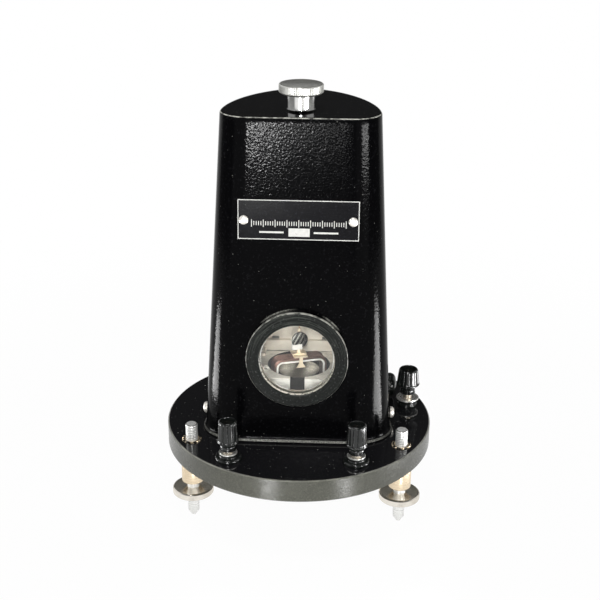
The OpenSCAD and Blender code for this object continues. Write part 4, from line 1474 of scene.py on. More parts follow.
@dataclass
class Case(SubAssembly):
    """The tapered case, hollow, with its foot bead, bosses and side screws."""

    foot_half: float = 61.3
    top_half: float = 49.6
    foot_front: float = 40.8
    top_front: float = 28.9
    foot_back: float = 68.0
    top_back: float = 56.3
    foot_corner: Pair = (26.0, 22.0)
    top_corner: float = 18.0
    back_power: float = 1.75
    wall: float = 3.0
    roof: float = 4.0
    bead_out: float = 1.6
    boss_r: float = 32.3
    boss_foot: float = 32.5
    spigot_r: float = 30.0
    side_screw: Triple = (61.7, -8.0, 7.5)
    lug_from: float = 55.0
    lug_r: float = 4.6
    knob_lug_at: Triple = (42.5, 31.0, 9.5)
    knob_lug_r: float = 6.5
    knob_lug_long: float = 12.5

    def front_at(self, z: float) -> float:
        """The front face's distance from the middle at a height."""
        return -self.foot_front + (self.foot_front - self.top_front) * z / self.layout.case_h

    @property
    def slope(self) -> float:
        """The front face's lean, in radians."""
        return math.atan((self.foot_front - self.top_front) / self.layout.case_h)

    def section(self, z: float, inset: float) -> list[Triple]:
        """The case's outline at a height, drawn in by an inset.

        Args:
            z: The height.
            inset: How far the outline is drawn in.

        Returns:
            The outline's points.
        """
        t = z / self.layout.case_h

        def mixed(low: float, high: float) -> float:
            """A size between its foot and top values, drawn in."""
            return low + (high - low) * t - inset

        w, b = mixed(self.foot_half, self.top_half), mixed(self.foot_back, self.top_back)
        cx, cy = (mixed(corner, self.top_corner) for corner in self.foot_corner)
        f = self.front_at(z) + inset
        half = [((w - cx) * k / 6, f) for k in range(7)]
        for k in range(1, 15):
            turn = math.radians(90 * k / 14)
            half.append((w - cx + cx * math.sin(turn), f + cy - cy * math.cos(turn)))
        reach = 2 / self.back_power
        for k in range(1, 33):
            turn = math.radians(90 * k / 33)
            across, back = math.cos(turn) ** reach, math.sin(turn) ** reach
            half.append((w * across, f + cy + (b - f - cy) * back))
        points = half + [(0.0, b)] + [(-x, y) for x, y in reversed(half[1:])]
        return [(x, y, z) for x, y in points]

    def made(self) -> list[Thing]:
        """Makes the case and its screws."""
        return [self.shell(), self.screw(-1), self.screw(1)]

    def shell(self) -> Thing:
        """The hollow case with its window hole, its bosses and a glossier roof.

        Returns:
            The placed piece.
        """
        top, front, window_z = self.layout.case_h, self.layout.seat_front, self.layout.window_z
        out = -self.bead_out
        bead = [(0.0, -1.1), (0.3, out), (1.3, out), (1.9, -1.3)]
        bead += [(2.3, -0.8), (2.6, -0.3), (3.4, 0.0)]
        walls = [(z, 0.0) for z in steps_between(6.0, top - 4.0, 17.0)]
        edge = offset(top, 0.0, (-1.1, 0.0), (-0.7, 0.08), (-0.32, 0.32), (-0.08, 0.7))
        edge += [(top, 1.2), (top, 3.0), (top, 8.0)]
        inner = [(0.0, self.wall)]
        inner += [(z, self.wall) for z in steps_between(8.0, top - self.roof, 20.0)]
        levels = [*reversed(inner), *bead, *walls, *edge]
        mesh = Shape.stack([self.section(z, inset) for z, inset in levels])

        deep, r = -self.front_at(window_z - self.boss_foot) - front, self.boss_r
        upright = Matrix.Translation((0, -front, window_z)) @ spin(90, "X")
        profile = [(0.0, 0.0), (r, 0.0), (r, deep - 0.3), (r - 0.3, deep), (0.0, deep)]
        mesh = Bench.cut(mesh, Shape.moved(Shape.lathe(profile, 144), upright), join=True)
        r = self.spigot_r + 0.03
        hole = Shape.lathe([(0.0, -20.0), (r, -20.0), (r, 40.0), (0.0, 40.0)], 144)
        mesh = Bench.cut(mesh, Shape.moved(hole, upright))

        x, y, z = self.side_screw
        start = self.lug_from
        lugs = [(side, (side * start, y, z), self.lug_r, x - start, 0.5, 48) for side in (-1, 1)]
        lugs.append((1, self.knob_lug_at, self.knob_lug_r, self.knob_lug_long, 0.6, 64))
        for side, place, r, long, edge_r, steps in lugs:
            profile = rounded([(0.0, 0.0), (r, 0.0), (r, long), (0.0, long)], edge_r)
            turn = Matrix.Translation(place) @ spin(side * 90, "Y")
            mesh = Bench.cut(mesh, Shape.moved(Shape.lathe(profile, steps), turn), join=True)
        shell = Bench.place(
            "case_shell", mesh, self.layout.at(0, 0, 0), Finishes.CASE, "frame", ["casing"],
            crease=26, slot="crackle_enamel",
        )
        shell.data.materials.append(Finishes.ROOF.material())
        for face in shell.data.polygons:
            if face.center.z > (top - 0.2) * MM and face.normal.z > 0.9:
                face.material_index = 1
        return shell

    def screw(self, side: int) -> Thing:
        """A round-headed screw low on a flank.

        Args:
            side: -1 for the left flank and 1 for the right.

        Returns:
            The placed piece.
        """
        x, y, z = self.side_screw
        spot = self.layout.at(side * (x + 0.03), y, z) @ spin(side * 90, "Y")
        name = "flank_screw_" + ("left" if side < 0 else "right")
        mesh = round_head(r=3.8, h=2.8, shank_r=1.9, shank=11.0, slot_turn=35.0)
        return Bench.place(
            name, mesh, spot, Finishes.SCREW, "frame", ["side_screws"], slot="nickel",
        )


def round_head(r: float, h: float, shank_r: float, shank: float, slot_turn: float) -> Mesh:
    """A round-headed screw with a slot.

    Args:
        r: The head's radius.
        h: The head's height.
        shank_r: The shank's radius.
        shank: The shank's length.
        slot_turn: The slot's direction, in degrees.

    Returns:
        The screw, with local Z out of its head.
    """
    slit_half, cheek, steps, roundness = 0.42, 0.22, 8, 0.85
    dome = [(0.0, -shank), (shank_r, -shank), (shank_r, 0.0), (r, 0.0), (r, h * cheek)]
    for k in range(1, steps):
        turn = math.radians(90 * k / steps)
        dome.append((r * math.cos(turn) ** roundness, h * (cheek + (1 - cheek) * math.sin(turn))))
    dome.append((0.0, h))
    head = Shape.lathe(dome, 48)
    slit = Shape.block((-r - 1, -slit_half, h * 0.5), (r + 1, slit_half, h + 1))
    return Bench.cut(head, Shape.moved(slit, spin(slot_turn, "Z")))


@dataclass
class Window(SubAssembly):
    """The window's ring, gasket, glass and retaining ring."""

    ring_r: float = 32.5
    opening_r: float = 23.7
    flange: float = 2.5
    ring_back: float = 39.3048
    spigot_r: float = 30.0
    glass_r: float = 27.0
    glass_t: float = 2.0
    lip: float = 2.2
    gasket_t: float = 0.6
    dressed: tuple[Dress, ...] = (("glass_retainer", Finishes.NICKEL, 0.0),)

    def made(self) -> list[Thing]:
        """Makes the ring, the gasket and the glass."""
        return [self.ring(), self.gasket(), self.glass()]

    @property
    def face(self) -> float:
        """Height of the ring's front face above its seat."""
        return self.ring_back + self.flange - self.layout.seat_front

    def ring(self) -> Thing:
        """The stepped ring, with its front slightly dished and its lips rounded.

        Returns:
            The placed piece.
        """
        face, back = self.face, self.ring_back - self.layout.seat_front
        lip, opening, seat = face - self.lip, self.opening_r, self.glass_r + 0.03
        corners = [(opening, lip + 0.6)]
        corners += offset(opening, face, (0.0, -0.95), (0.9, -0.12), (1.5, -0.05))
        corners += offset(self.ring_r, face, (-1.1, -0.03), (-0.45, 0.0), (0.0, -0.5))
        corners += offset(self.ring_r, back, (0.0, 0.2), (-0.15, 0.0))
        corners += [(self.spigot_r, back), (self.spigot_r, 0.0), (seat, 0.0)]
        corners += [(seat, lip), (opening, lip), (opening, lip + 0.5)]
        return Bench.place(
            "window_ring", Shape.ring(corners, 0.3, 192), self.layout.window(),
            Finishes.RING, "frame", ["window_bezel"], slot="crackle_enamel",
        )

    def gasket(self) -> Thing:
        """The soft washer between the lip and the glass.

        Returns:
            The placed piece.
        """
        low = self.face - self.lip - self.gasket_t
        inner, outer, high = self.opening_r + 0.6, self.glass_r, low + self.gasket_t
        corners = [(inner, low + 0.3), (inner, high), (outer, high), (outer, low)]
        corners += [(inner, low), (inner, low + 0.25)]
        return Bench.place(
            "window_washer", Shape.ring(corners, 0.14, 128), self.layout.window(),
            Finishes.PALE_RUBBER, "frame", ["window_gasket"], slot="pale_rubber",
        )

    def glass(self) -> Thing:
        """The round glass with ground edges.

        Returns:
            The placed piece.
        """
        low = self.face - self.lip - self.gasket_t - self.glass_t
        high, r = low + self.glass_t, self.glass_r
        profile = [(0.0, low), (r - 0.3, low), (r, low + 0.3)]
        profile += [(r, high - 0.3), (r - 0.3, high), (0.0, high)]
        return Bench.place(
            "window_pane", Shape.lathe(profile, 128), self.layout.window(),
            Finishes.GLASS, "frame", ["window_glass"], slot="glass",
        )


@dataclass
class Plate(SubAssembly):
    """The plate on the front face, with its marks and two screws."""

    width: float = 74.5
    height: float = 25.0
    thick: float = 0.8
    screw_in: float = 3.65
    screw_low: float = 0.4
    screw_turns: Pair = (20.0, -40.0)
    dressed: tuple[Dress, ...] = (("nameplate_marks", Finishes.MARKS, 0.0),)

    def on_face(self, x: float, z: float, out: float) -> Matrix:
        """A place on the sloping front, with local Z out of the face.

        Args:
            x: How far right of the middle.
            z: How far above the base.
            out: How far out of the face.

        Returns:
            The place.
        """
        case = Case()
        lean = Matrix.Rotation(math.radians(90) - case.slope, 4, "X")
        return self.layout.at(x, case.front_at(z), z) @ lean @ Matrix.Translation((0, 0, out * MM))

    def made(self) -> list[Thing]:
        """Makes the plate and its screws.

        Returns:
            The pieces.
        """
        half_w, half_h = self.width / 2, self.height / 2
        pieces = [
            Bench.place(
                "front_plate", Shape.block((-half_w, -half_h, 0.0), (half_w, half_h, self.thick)),
                self.on_face(0.0, self.layout.plate_z, 0.03),
                Finishes.PLATE, "frame", ["nameplate"], bevel=0.12, slot="plate_black",
            )
        ]
        for side, name, turn in zip((-1, 1), ("left", "right"), self.screw_turns):
            x = side * (half_w - self.screw_in)
            spot = self.on_face(x, self.layout.plate_z - self.screw_low, self.thick + 0.06)
            mesh = round_head(r=2.9, h=1.7, shank_r=1.2, shank=5.0, slot_turn=turn)
            pieces.append(Bench.place(
                "plate_screw_" + name, mesh, spot,
                Finishes.SCREW, "frame", ["nameplate_screws"], slot="nickel",
            ))
        return pieces


@dataclass
class TorsionHead(SubAssembly):
    """The knurled head on its polished neck, and the spindle through the roof."""

    grip_r: float = 13.8
    grip_h: float = 6.1
    neck_r: float = 8.7
    neck_h: float = 10.1
    spindle_r: float = 3.0
    grip_teeth: int = 75
    grip_tooth: float = 0.2
    dressed: tuple[Dress, ...] = (
        ("head_nut", Finishes.BRASS, 0.3),
        ("head_spindle", Finishes.BRASS, 0.1),
        ("head_collar", Finishes.NICKEL, 0.2),
    )

    def made(self) -> list[Thing]:
        """Makes the neck and the grip."""
        return [self.bush(), self.grip()]

    def bush(self) -> Thing:
        """The polished neck, with a notch at its foot.

        Returns:
            The placed piece.
        """
        bore, r, h = self.spindle_r + 0.05, self.neck_r, self.neck_h
        corners = [(bore, -11.0), (bore, -12.0), (6.0, -12.0), (6.0, 0.0), (r, 0.0), (r, 0.9)]
        corners += [(r - 0.25, 1.2), (r - 0.25, h - 0.6), (r - 0.6, h), (bore, h), (bore, -10.5)]
        notch = Shape.block((-0.55, -r - 1, -1.0), (0.55, -r + 1.2, 1.3))
        return Bench.place(
            "head_neck", Bench.cut(Shape.ring(corners, 0.2, 96), notch),
            self.layout.column(self.layout.case_h),
            Finishes.NECK, "frame", ["head_bush"], slot="nickel",
        )

    def grip(self) -> Thing:
        """The knurled grip with a satin top.

        Returns:
            The placed piece.
        """
        r, h, bore = self.grip_r, self.grip_h, self.spindle_r + 0.03
        profile = [(0.0, h - 2.0), (bore, h - 2.0), (bore, 0.0)]
        profile += offset(r, 0.0, (-1.7, 0.0), (-1.3, 0.1), (-0.35, 0.95), (-0.02, 1.2))
        profile += [(r, z) for z in (1.3, 3.0, 4.2, h - 0.75)]
        profile += offset(r, h, (-0.02, -0.65), (-0.55, -0.12), (-1.0, 0.0))
        profile += offset(r, h, (-1.6, 0.0), (-2.0, -0.1))
        profile += [(2.0, h - 0.1), (0.9, h - 0.14), (0.0, h - 0.5)]
        knurl = teeth(self.grip_teeth, self.grip_tooth, 1.15, h - 0.6)
        return Bench.place(
            "head_grip", Shape.lathe(profile, 4 * self.grip_teeth, cut=knurl),
            self.layout.column(self.layout.case_h + self.neck_h + 0.2),
            Finishes.GRIP, "head", ["torsion_knob"], slot="nickel",
        )


@dataclass
class MovingCoil(SubAssembly):
    """The suspended coil with its mirror, clips, strip and lower ligament."""

    inner_half: float = 15.2
    wall: float = 1.1
    deep: float = 9.6
    low: float = 14.0
    high: float = 46.2
    corner: float = 4.0
    flange: float = 0.2
    wire: float = 0.5
    wire_pitch: float = 0.56
    layers: int = 4
    mirror_r: float = 5.5
    mirror_z: float = 59.8
    mirror_forward: float = 0.9
    spring_r: float = 2.0
    spring_wire: float = 0.42
    spring_turns: int = 9
    lead_wire: float = 0.72
    curl_at: Triple = (-21.1, -11.2, 44.0)
    curl_r: Pair = (1.6, 1.35)
    dressed: tuple[Dress, ...] = (
        ("mirror_stem", Finishes.CLIP_BRASS, 0.1),
        ("mirror_holder", Finishes.ALUMINIUM, 0.25),
        ("coil_clip_top", Finishes.CLIP_BRASS, 0.12),
        ("coil_clip_bottom", Finishes.CLIP_BRASS, 0.12),
        ("suspension_strip", Finishes.BRONZE, 0.0),
    )

    def made(self) -> list[Thing]:
        """Makes the coil, the mirror, the ligament and the curled lead."""
        return [self.former(), self.winding(), self.mirror(), self.ligament(), self.lead()]

    def hoop(
        self, per_corner: int = 8, per_side: int = 6,
    ) -> list[tuple[float, float, float, float]]:
        """Points round the former's outer face with their outward directions.

        Args:
            per_corner: Points on each rounded corner.
            per_side: Points along each straight side.

        Returns:
            Tuples of across, up, outward across and outward up.
        """
        w, r = self.inner_half + self.wall - self.corner, self.corner
        mid, h = (self.high + self.low) / 2, (self.high - self.low) / 2 - self.corner
        centres = [(w, mid + h), (-w, mid + h), (-w, mid - h), (w, mid - h)]
        out = []
        for k, (cx, cz) in enumerate(centres):
            for i in range(per_corner + 1):
                c, s = polar(1.0, math.radians(90 * (k + i / per_corner)))
                out.append((cx + r * c, cz + r * s, c, s))
            nx, nz = centres[(k + 1) % 4]
            c, s = polar(1.0, math.radians(90 * (k + 1)))
            for i in range(1, per_side):
                t = i / per_side
                out.append((cx + (nx - cx) * t + r * c, cz + (nz - cz) * t + r * s, c, s))
        return out

    def former(self) -> Thing:
        """The light frame that the wire is wound on, a channel with rounded corners.

        Returns:
            The placed piece.
        """
        y, f, w = self.deep / 2, self.flange, -self.wall
        profile = [(w, -y + 0.12), (w, y - 0.12), (w + 0.12, y), (f - 0.1, y), (f, y - 0.1)]
        profile += [(f, y - 0.42), (f - 0.08, y - 0.5), (0.0, y - 0.5)]
        profile += [(0.0, -y + 0.5), (f - 0.08, -y + 0.5), (f, -y + 0.42)]
        profile += [(f, -y + 0.1), (f - 0.1, -y), (w + 0.12, -y)]
        rings = [
            [(x + c * out, across, z + s * out) for out, across in profile]
            for x, z, c, s in self.hoop()
        ]
        return Bench.place(
            "coil_frame", Shape.stack(rings, closed=True), self.layout.hung(),
            Finishes.FORMER, "coil", ["coil_former"], slot="aluminium",
        )

    def winding(self) -> Thing:
        """The winding: fine wire led to and fro across the former in layers.

        Returns:
            The placed piece.
        """
        ring = self.hoop(6, 2)
        across = self.deep - 1.1 - self.wire
        turns = int(across / self.wire_pitch)
        step, climb_from = 0.9 * self.wire, 0.97
        path = []
        for i in range(len(ring) * turns * self.layers):
            t = i / len(ring)
            layer = min(int(t / turns), self.layers - 1)
            share = t / turns - layer
            y = (-across / 2 + across * share) * (1 if layer % 2 == 0 else -1)
            grow = self.wire / 2 + 0.06 + step * layer
            if layer < self.layers - 1:
                grow += step * max(0.0, (share - climb_from) / (1 - climb_from))
            x, z, c, s = ring[i % len(ring)]
            path.append((x + c * grow, y, z + s * grow))
        return Bench.place(
            "coil_wire", Shape.tube(path, self.wire / 2, 6), self.layout.hung(),
            Finishes.COPPER, "coil", ["coil_winding"], crease=80, slot="copper",
        )

    def mirror(self) -> Thing:
        """The small round mirror with a ground edge.

        Returns:
            The placed piece.
        """
        r = self.mirror_r
        profile = [(0.0, 0.0), (r - 0.15, 0.0), (r, 0.15), (r, 0.8), (r - 0.2, 1.0), (0.0, 1.0)]
        middle = (0, -self.mirror_forward * MM, self.mirror_z * MM)
        face = Matrix.Translation(middle) @ spin(90, "X")
        return Bench.place(
            "mirror_disc", Shape.lathe(profile, 64), self.layout.hung() @ face,
            Finishes.MIRROR, "coil", ["mirror"], slot="mirror",
        )

    def ligament(self) -> Thing:
        """The fine coiled strip that leads the current to the coil's lower end.

        Returns:
            The placed piece.
        """
        r, low, high, per_turn = self.spring_r, -4.6, self.low - 2.5 - 3.4, 18
        path = [(r, 0.0, low - 1.1), (r, 0.0, low - 0.6)]
        count = per_turn * self.spring_turns
        for i in range(count + 1):
            z = low + (high - low - 1) * i / count
            path.append((*polar(r, math.tau * i / per_turn), z))
        path += [(r, 0.2, high - 0.4), (r, 0.2, high + 0.1)]
        return Bench.place(
            "ligament_coil", Shape.tube(path, self.spring_wire / 2), self.layout.column(),
            Finishes.BRONZE, "frame", ["ligament_spring"], crease=80, slot="bronze",
        )

    def lead(self) -> Thing:
        """The small curled lead that stands on the left pole piece.

        Returns:
            The placed piece.
        """
        path = [(-22.6, -10.4, 42.0), (-22.7, -10.6, 43.0), (-22.6, -10.9, 43.8)]
        (x, y, z), (wide, high) = self.curl_at, self.curl_r
        for i in range(25):
            c, s = polar(1.0, math.radians(150 - 26 * i))
            path.append((x + wide * c, y - 0.07 * i, z + high * s - 0.03 * i))
        return Bench.place(
            "curled_lead", Shape.tube(path, self.lead_wire / 2), self.layout.column(),
            Finishes.SCREW, "frame", crease=80, slot="nickel",
        )


@dataclass
class MagnetSystem(SubAssembly):
    """Magnet, pole pieces, core and the bridge that carries them."""

    dressed: tuple[Dress, ...] = (
        ("magnet", Finishes.MAGNET, 0.3),
        ("pole_left", Finishes.IRON, 0.3),
        ("pole_right", Finishes.IRON, 0.3),
        ("core", Finishes.CORE, 0.3),
        ("core_bridge", Finishes.BRIDGE, 0.3),
        ("back_plate", Finishes.BRIDGE, 0.3),
        ("magnet_pillars", Finishes.BRASS, 0.3),
        ("bridge_screws", Finishes.SCREW, 0.3),
    )


@dataclass
class ArrestGear(SubAssembly):
    """The knob that lifts two soft pads under the coil."""

    knob_r: float = 8.0
    knob_at: Triple = (55.4, 31.0, 9.5)
    flutes: int = 12
    pad_low: float = 7.1
    pad_across: float = 10.0
    pad_half: Pair = (2.5, 4.5)
    dressed: tuple[Dress, ...] = (
        ("arrest_spindle", Finishes.NICKEL, 0.15),
        ("arrest_fork", Finishes.BRASS, 0.15),
        ("arrest_guides", Finishes.BRASS, 0.15),
    )

    def made(self) -> list[Thing]:
        """Makes the knob and the pads."""
        return [self.knob(), self.pads()]

    def knob(self) -> Thing:
        """A small fluted knob with a domed end.

        Returns:
            The placed piece.
        """
        r, bore, deep = self.knob_r, 2.03, 9.4
        foot = [(bore, deep), (bore, 0.0), (r - 1.0, 0.0), (r, 1.0)]
        dome = [(r, 7.4), (r - 0.8, 9.6), (r - 2.6, 10.8), (r - 5.0, 11.3), (0.0, 11.4)]
        profile = [(0.0, deep), *rounded(foot, 0.3)]
        profile += [(r, h) for h in steps_between(1.3, 7.3, 1.0)] + rounded(dome, 0.9, 5)

        def cut(radius: float, angle: float, height: float) -> float:
            """Finger flutes that fade towards the dome."""
            flute = 0.55 * held((8.6 - height) / 1.6) * max(0.0, math.cos(self.flutes * angle)) ** 2
            return radius if height < 0.5 or radius < r - 1.2 else radius - flute

        return Bench.place(
            "arrest_grip", Shape.lathe(profile, 12 * self.flutes, cut=cut),
            self.layout.at(*self.knob_at) @ spin(90, "Y"),
            Finishes.PHENOLIC, "arrest", ["arrest_knob"], slot="black_plastic",
        )

    def pads(self) -> Thing:
        """Two soft pads with crowned tops.

        Returns:
            The placed piece.
        """
        levels = ((0.0, 0.15), (0.3, 0.0), (2.0, 0.0), (2.5, 0.3), (2.85, 0.9))
        corners = ((-1, -1), (1, -1), (1, 1), (-1, 1))
        meshes = []
        for side in (-1, 1):
            rows = []
            for height, inset in levels:
                a, b = (half - inset for half in self.pad_half)
                z = self.pad_low + height
                rows.append([(side * self.pad_across + x * a, y * b, z) for x, y in corners])
            meshes.append(Shape.stack(rows))
        return Bench.place(
            "arrest_cushions", Shape.joined(*meshes), self.layout.column(),
            Finishes.RUBBER, "fork", ["arrest_pads"], bevel=0.25, slot="rubber",
        )


@dataclass(frozen=True)
class TerminalSizes:
    """One terminal's own sizes; the front two differ in their places only."""

    name: str
    edge: float
    turn: float
    low_r: float = 6.9
    top_r: float = 5.9
    cap_low: float = 12.1
    cap_h: float = 15.0
    skirt: float = 6.9
    washer_r: float = 5.9
    mouth_r: float = 4.7
    shoulder: tuple[Pair, ...] = (
        (8.5, 0.0), (8.5, 1.6), (7.9, 2.4), (5.9, 2.4), (5.6, 2.9), (5.6, 4.4),
    )

    @property
    def collar(self) -> float:
        """The height of the collar's top."""
        return self.shoulder[-1][1]


@dataclass
class Terminals(SubAssembly):
    """Three terminals: cap, washer, collar, stem and what holds them below."""

    lobes: int = 12
    groove_turn: float = -23.6
    insert_r: float = 4.2
    stem_r: float = 3.0
    stem_pitch: float = 1.0
    socket_r: float = 2.05
    each: tuple[TerminalSizes, ...] = (
        TerminalSizes("left", 12.5, -123.4),
        TerminalSizes("right", 14.2, -58.5),
        TerminalSizes(
            "rear", 12.3, 14.3,
            low_r=7.95, top_r=6.6, cap_low=15.6, cap_h=12.0, skirt=9.4, washer_r=7.8, mouth_r=5.3,
            shoulder=((6.6, 0.0), (6.6, 1.5), (6.0, 2.0), (6.0, 5.2)),
        ),
    )
    dressed: tuple[Dress, ...] = (
        ("post_bushings", Finishes.FIBRE, 0.15),
        ("solder_tags", Finishes.SCREW, 0.1),
        ("post_nuts", Finishes.BRASS, 0.3),
    )

    def made(self) -> list[Thing]:
        """Makes each terminal."""
        steps = (self.cap, self.collar, self.washer, self.stem, self.liner)
        return [step(one) for one in self.each for step in steps]

    def spot(self, one: TerminalSizes) -> Matrix:
        """A terminal's axis at the base's top."""
        return self.layout.inside_rim(one.edge, one.turn)

    def cap(self, one: TerminalSizes) -> Thing:
        """A lobed cap with a plug hole in its top.

        Args:
            one: The terminal's sizes.

        Returns:
            The placed piece.
        """
        inner, skirt = self.insert_r + 0.05, one.skirt
        low, high = one.cap_low, one.cap_low + one.cap_h
        side_low, side_high, mouth = one.low_r - 0.34, one.top_r, one.mouth_r
        rows = [(inner, high - 8.0), (inner, skirt), (4.9, skirt)]
        rows += offset(0.0, skirt, (5.1, 0.2), (5.1, 0.7), (4.6, 1.0), (4.6, 1.9), (4.95, 2.2))
        rows += offset(0.0, skirt, (4.95, 2.8), (4.7, 3.2)) + [(4.9, low - 1.1)]
        rows += offset(one.low_r, low, (-1.0, -0.1), (-0.3, 0.2), (0.0, 0.6))
        rows += offset(one.low_r, low, (0.0, 0.95), (-0.08, 1.15))
        rows += offset(side_low, low, (0.08, 1.55), (0.0, 1.85))
        for k in range(1, 11):
            t = k / 10
            rows.append((side_low + (side_high - side_low) * t, low + 1.85 + (one.cap_h - 3.0) * t))
        rows += offset(one.top_r, high, (-0.12, -0.8), (-0.4, -0.4), (-0.75, -0.12), (-1.05, 0.0))
        rows += offset(mouth, high, (0.1, -0.02), (0.0, -0.2), (-0.1, -4.0), (-0.2, -8.0))
        step = math.tau / self.lobes
        start = math.radians(-90 + self.groove_turn)
        groove_from = 0.78

        def cut(radius: float, angle: float, height: float) -> float:
            """Rounded lobes with narrow grooves, which run out at both ends.

            Args:
                radius: The radius before the cut.
                angle: The angle round the axis.
                height: The height on the profile.

            Returns:
                The radius after the cut.
            """
            if radius < one.top_r - 0.8 or not low - 0.05 <= height <= high - 0.1:
                return radius
            away = saw((angle - start) / step)
            share = held((height - low - 1.0) / 0.7, (high - 0.1 - height) / 0.9)
            crown = 0.12 * away ** 2
            groove = 0.42 * max(0.0, (away - groove_from) / (1 - groove_from)) ** 1.5
            return radius - (crown + groove) * share

        node = "cap_" + one.name
        mesh = Shape.lathe(rows, 24 * self.lobes, closed=True, cut=cut)
        return Bench.place(
            "terminal_" + node, mesh, self.spot(one),
            Finishes.PHENOLIC, node, [node], crease=34, slot="black_plastic",
        )

    def collar(self, one: TerminalSizes) -> Thing:
        """The black collar that the terminal stands on.

        Args:
            one: The terminal's sizes.

        Returns:
            The placed piece.
        """
        bore = self.stem_r + 0.03
        corners = [(bore, 0.5), (bore, -5.0), (4.5, -5.0), (4.5, 0.0), *one.shoulder]
        corners += [(bore, one.collar), (bore, 1.0)]
        return Bench.place(
            "collar_" + one.name, Shape.ring(corners, 0.35, 96), self.spot(one),
            Finishes.PHENOLIC, "frame", ["post_collars"], slot="black_plastic",
        )

    def washer(self, one: TerminalSizes) -> Thing:
        """The bright washer that a wire is clamped on.

        Args:
            one: The terminal's sizes.

        Returns:
            The placed piece.
        """
        bore, r, low, high = self.stem_r + 0.03, one.washer_r, one.collar, one.collar + 0.9
        corners = [(bore, low + 0.3), (bore, low), (r, low), (r, high)]
        corners += [(bore, high), (bore, low + 0.5)]
        return Bench.place(
            "washer_" + one.name, Shape.ring(corners, 0.25, 96), self.spot(one),
            Finishes.WASHER, "frame", ["post_washers"], slot="nickel",
        )

    def stem(self, one: TerminalSizes) -> Thing:
        """The threaded stem with its plug socket.

        Args:
            one: The terminal's sizes.

        Returns:
            The placed piece.
        """
        top, low, r = one.cap_low + one.cap_h - 5.0, -self.layout.base_t + 1.0, self.stem_r
        profile = [(0.0, low), (r - 0.4, low), (r, low + 0.4)]
        profile += [(r, z) for z in steps_between(low + 0.5, top - 0.6, 0.16)] + [(r - 0.35, top)]
        profile += offset(self.socket_r, top, (0.3, 0.0), (0.0, -0.3), (0.0, -16.0))
        profile += [(0.0, top - 16.6)]
        groove = thread(self.stem_pitch, 0.3, low, top - 0.4)

        def cut(radius: float, angle: float, height: float) -> float:
            """The fine thread on the outside only."""
            return radius if radius < r - 0.01 else groove(radius, angle, height)

        return Bench.place(
            "stem_" + one.name, Shape.lathe(profile, 40, cut=cut), self.spot(one),
            Finishes.STEM, "frame", ["post_stems"], crease=50, slot="brass",
        )

    def liner(self, one: TerminalSizes) -> Thing:
        """The brass liner that runs on the stem inside the cap.

        Args:
            one: The terminal's sizes.

        Returns:
            The placed piece.
        """
        bore, low = self.stem_r + 0.05, one.skirt + 0.4
        high, r = one.cap_low + 4.4, self.insert_r
        corners = [(bore, low + 1), (bore, low), (r, low), (r, high), (bore, high), (bore, low + 2)]
        node = "liner_" + one.name
        return Bench.place(
            "sleeve_" + one.name, Shape.ring(corners, 0.2, 64), self.spot(one),
            Finishes.STEM, node, [node], slot="brass",
        )


AT_BASE: Triple = (0.0, -0.03, 0.12)
AT_CASE: Triple = (0.0, -0.03, 0.2)


class Serves(Enum):
    """What a lamp is for: a card's shine, the level of the light, or both."""

    BOTH = "both"
    SHINE = "shine"
    LEVEL = "level"


@dataclass(frozen=True)
class Lamp:
    """One soft lamp: its place, what it faces, its size, its strength and what it serves."""

    name: str
    place: Triple
    faces: Triple
    size: Pair
    watts: float
    serves: Serves = Serves.BOTH

    def build(self) -> Thing:
        """Makes the lamp.

        Returns:
            The lamp.
        """
        data = bpy.data.lights.new(self.name, "AREA")
        data.shape = "RECTANGLE"
        data.size, data.size_y = self.size
        data.energy = self.watts
        lamp = put(self.name, data)
        lamp.location = self.place
        lamp.visible_diffuse = self.serves is not Serves.SHINE
        lamp.visible_glossy = self.serves is not Serves.LEVEL
        ahead = Vector(self.faces) - Vector(self.place)
        lamp.rotation_euler = ahead.to_track_quat("-Z", "Y").to_euler()
        return lamp


